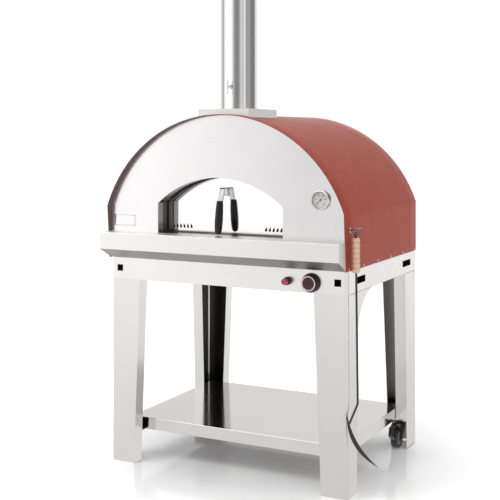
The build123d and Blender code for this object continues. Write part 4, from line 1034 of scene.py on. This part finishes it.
def makeScrewTree():
    tree, given, out = newTree("screwRow", [
        ("Radius", "NodeSocketFloat", 0.005), ("Height", "NodeSocketFloat", 0.0022),
        ("Count", "NodeSocketInt", 6), ("Turn", "NodeSocketRotation", None),
        ("Seed", "NodeSocketInt", 4), ("Finish", "NodeSocketMaterial", None)])
    radius, height = given["Radius"], given["Height"]
    line = addNode(tree, "GeometryNodeMeshToCurve", {"Mesh": given["Geometry"]})
    spaced = addNode(tree, "GeometryNodeResampleCurve", {"Curve": line.outputs[0], "Count": given["Count"]})
    washer = addNode(tree, "GeometryNodeMeshCylinder", {
        "Vertices": 24, "Radius": times(tree, radius, 1.25), "Depth": times(tree, height, 0.5)})
    dome = addNode(tree, "GeometryNodeMeshUVSphere", {"Segments": 24, "Rings": 10, "Radius": radius})
    flatness = maths(tree, "DIVIDE", height, radius)
    flatten = addNode(tree, "ShaderNodeCombineXYZ", {"X": 1.0, "Y": 1.0, "Z": flatness})
    head = addNode(tree, "GeometryNodeTransform", {"Geometry": dome.outputs[0], "Scale": flatten.outputs[0]})
    slotLong, slotThin = times(tree, radius, 1.1), times(tree, radius, 0.22)
    both = addNode(tree, "GeometryNodeJoinGeometry")
    tree.links.new(washer.outputs[0], both.inputs[0])
    tree.links.new(head.outputs[0], both.inputs[0])
    for x, y in ((slotLong, slotThin), (slotThin, slotLong)):             # the cross that a driver fits
        size = addNode(tree, "ShaderNodeCombineXYZ", {"X": x, "Y": y, "Z": times(tree, height, 2.04)})
        bar = addNode(tree, "GeometryNodeMeshCube", {"Size": size.outputs[0]})
        tree.links.new(bar.outputs[0], both.inputs[0])
    spin = addNode(tree, "FunctionNodeRandomValue", {3: 1.57, "Seed": given["Seed"]}, data_type="FLOAT")
    angle = addNode(tree, "ShaderNodeCombineXYZ", {"Z": spin.outputs[1]})
    turned = addNode(tree, "FunctionNodeEulerToRotation", {0: angle.outputs[0]})
    whole = addNode(tree, "FunctionNodeRotateRotation", {0: given["Turn"], 1: turned.outputs[0]},
                    rotation_space="LOCAL")
    spread = addNode(tree, "GeometryNodeInstanceOnPoints", {
        "Points": spaced.outputs[0], "Instance": both.outputs[0], "Rotation": whole.outputs[0]})
    closeTree(tree, spread.outputs[0], given["Finish"], out)
    return tree


screwTree = makeScrewTree()

screwRows = {     # name: points in mm, count, turn in degrees, radius and height in mm
    "hoodScrewsRight": ([(535, -399, 866), (535, 391, 866)], 6, (0, 90, 0), 4.2, 2.2),
    "hoodScrewsLeft": ([(-535, -399, 866), (-535, 391, 866)], 6, (0, -90, 0), 4.2, 2.2),
    "plateRivetsLow": ([(-512, -422.5, 999), (-416, -422.5, 999)], 2, (90, 0, 0), 1.7, 0.9),
    "plateRivetsHigh": ([(-512, -422.5, 1038), (-416, -422.5, 1038)], 2, (90, 0, 0), 1.7, 0.9),
    "rearScrews": ([(-480, 413, 900), (480, 413, 900)], 6, (-90, 0, 0), 4.2, 2.2),
}


def makeScrews(name, points, count, turn, radius, height, body="oven"):
    line = bpy.data.meshes.new(name + "Line")
    line.from_pydata([Vector(p) * mm for p in points], [(i, i + 1) for i in range(len(points) - 1)], [])
    made = treeMesh(line, screwTree, {
        "Radius": radius * mm, "Height": height * mm, "Count": count,
        "Turn": [radians(a) for a in turn], "Seed": 4, "Finish": finishes["zincBolt"]})
    smooth(made, 40)
    piece = bpy.data.objects.new(name, made)
    scene.collection.objects.link(piece)
    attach(piece, body)


for name, row in screwRows.items():
    makeScrews(name, *row)
print("screws made:", sum(row[1] for row in screwRows.values()))


# floor, light and camera

studio = {
    "floorTone": 0.97, "floorRough": 0.10, "floorSize": 30,
    "floorReflectedGlow": (0.84, 1.06), "mirroredReach": (0.8, 5.0),        # painted reflection: the floor's grey glow as polished metal shows it
    # painted light: the floor glows whiter away from the oven as the camera sees it
    "floorSeenGlow": (0.0, 0.27), "seenReach": (0.45, 1.0), "shineReach": (1.3, 2.4),
    "keyPower": 95, "keySize": 2.6, "keyPlace": (-2.6, -3.2, 4.2),
    "fillPower": 8, "fillSize": 3.0, "fillPlace": (3.6, -1.2, 2.6), "lampAim": (0, 0, 0.9),
    "diffusePower": 0.84, "seenPower": 1.06, "skyPower": 1.7,
    "skyline": (-0.01, 0.015), "bandTop": (0.45, 0.75), "skyRise": (0.3, 0.6),
    "bands": [(-180, 0.35), (-172, 0.70), (-163, 1.10), (-150, 1.25), (-127, 1.25), (-108, 0.95),
              (-101, 0.62), (-94, 0.36), (-84, 0.245), (-72, 0.235), (-63, 0.32), (-56, 0.52), (-50, 0.70),
              (-44, 0.66), (-39, 0.46), (-33, 0.80), (-27, 0.86), (-20, 0.46), (-13, 0.34), (-5, 0.35),
              (8, 0.38), (16, 0.21), (42, 0.22), (50, 0.25), (60, 0.74), (80, 0.92), (120, 0.82),
              (170, 0.60), (179, 0.35)],                               # degrees round the object, brightness
}

cameraShape = {
    "place": (1.9387, -3.9609, 1.3772), "turn": 27.12, "lens": 72.71, "sensor": 36, "rise": -0.2309,
    "clipEnd": 60,
}


def makeFloor(s):
    reach = s["floorSize"]
    corners = [(-reach, -reach, 0), (reach, -reach, 0), (reach, reach, 0), (-reach, reach, 0)]
    mesh = bpy.data.meshes.new("studioFloor")
    mesh.from_pydata(corners, [], [(0, 1, 2, 3)])
    floor = bpy.data.objects.new("studioFloor", mesh)
    scene.collection.objects.link(floor)
    material, tree, shader, mapped, spot = openMaterial("paleFloor")
    path = addNode(tree, "ShaderNodeLightPath").outputs
    mirrored = path["Is Glossy Ray"]                 # painted reflection: seen in polished metal the floor is a grey glow, darker nearer the oven
    away = addNode(tree, "ShaderNodeVectorMath", {0: spot}, operation="LENGTH").outputs["Value"]
    reflectedGlow = remap(tree, away, *s["floorReflectedGlow"], *s["mirroredReach"])
    # painted light: the floor glows whiter away from the oven as the camera sees it
    seenGlow = times(tree, path["Is Camera Ray"], remap(tree, away, *s["floorSeenGlow"], *s["seenReach"]))
    shine = times(tree, remap(tree, mirrored, 0.5, 0.0), remap(tree, away, 1.0, 0.0, *s["shineReach"]))
    tone, black = colour(s["floorTone"], s["floorTone"], s["floorTone"]), colour(0, 0, 0)
    feed(tree, shader, base=mixColour(tree, mirrored, tone, black), rough=s["floorRough"], specular=shine,
         glow=mixColour(tree, mirrored, seenGlow, reflectedGlow))
    shader.inputs["Emission Strength"].default_value = 1.0
    mesh.materials.append(material)


def makeLights(s):
    for name in ("key", "fill"):
        lamp = bpy.data.lights.new(name + "Light", "AREA")
        lamp.energy = s[name + "Power"]
        lamp.size = s[name + "Size"]
        light = bpy.data.objects.new(name + "Light", lamp)
        light.location = s[name + "Place"]
        aim = Vector(s["lampAim"]) - light.location
        light.rotation_euler = aim.to_track_quat("-Z", "Y").to_euler()
        light.visible_glossy = False
        scene.collection.objects.link(light)


def makeWorld(s):    # white all round, with darker bands for polished metal to reflect
    world = bpy.data.worlds.new("studioWorld")
    world.use_nodes = True
    tree = world.node_tree
    sky = tree.nodes["Background"]
    way = splitVector(tree, addNode(tree, "ShaderNodeTexCoord").outputs["Generated"])
    turn = remap(tree, maths(tree, "ARCTAN2", way["Y"], way["X"]), 0, 1, -pi, pi)
    ramp = addNode(tree, "ShaderNodeValToRGB", {0: turn})
    stops = ramp.color_ramp.elements
    while len(stops) > 1:
        stops.remove(stops[0])
    stops[0].position = 0.0
    stops[0].color = colour(*[s["bands"][0][1]] * 3)
    for degree, tone in s["bands"][1:]:
        stops.new((degree + 180) / 360).color = colour(tone, tone, tone)
    below, over = remap(tree, way["Z"], 0, 1, *s["skyline"]), remap(tree, way["Z"], 1, 0, *s["bandTop"])
    where = times(tree, below, over)
    above = remap(tree, way["Z"], 1.0, s["skyPower"], *s["skyRise"])
    shown = mixColour(tree, where, above, ramp.outputs[0])
    path = addNode(tree, "ShaderNodeLightPath").outputs
    give(tree, sky.inputs["Color"], mixColour(tree, path["Is Glossy Ray"], colour(1, 1, 1), shown))
    seen = remap(tree, path["Is Camera Ray"], 1.0, s["seenPower"])
    shed = remap(tree, path["Is Diffuse Ray"], 1.0, s["diffusePower"])
    give(tree, sky.inputs["Strength"], times(tree, seen, shed))
    scene.world = world


def makeCamera(s):
    camera = bpy.data.objects.new("camera", bpy.data.cameras.new("camera"))
    camera.location = s["place"]
    camera.rotation_euler = (radians(90), 0, radians(s["turn"]))
    camera.data.lens = s["lens"]
    camera.data.sensor_width = s["sensor"]
    camera.data.shift_y = s["rise"]
    camera.data.clip_end = s["clipEnd"]
    scene.collection.objects.link(camera)
    scene.camera = camera


makeFloor(studio)
makeLights(studio)
makeWorld(studio)
makeCamera(cameraShape)
scene.view_settings.view_transform = "Standard"
print("studio made")
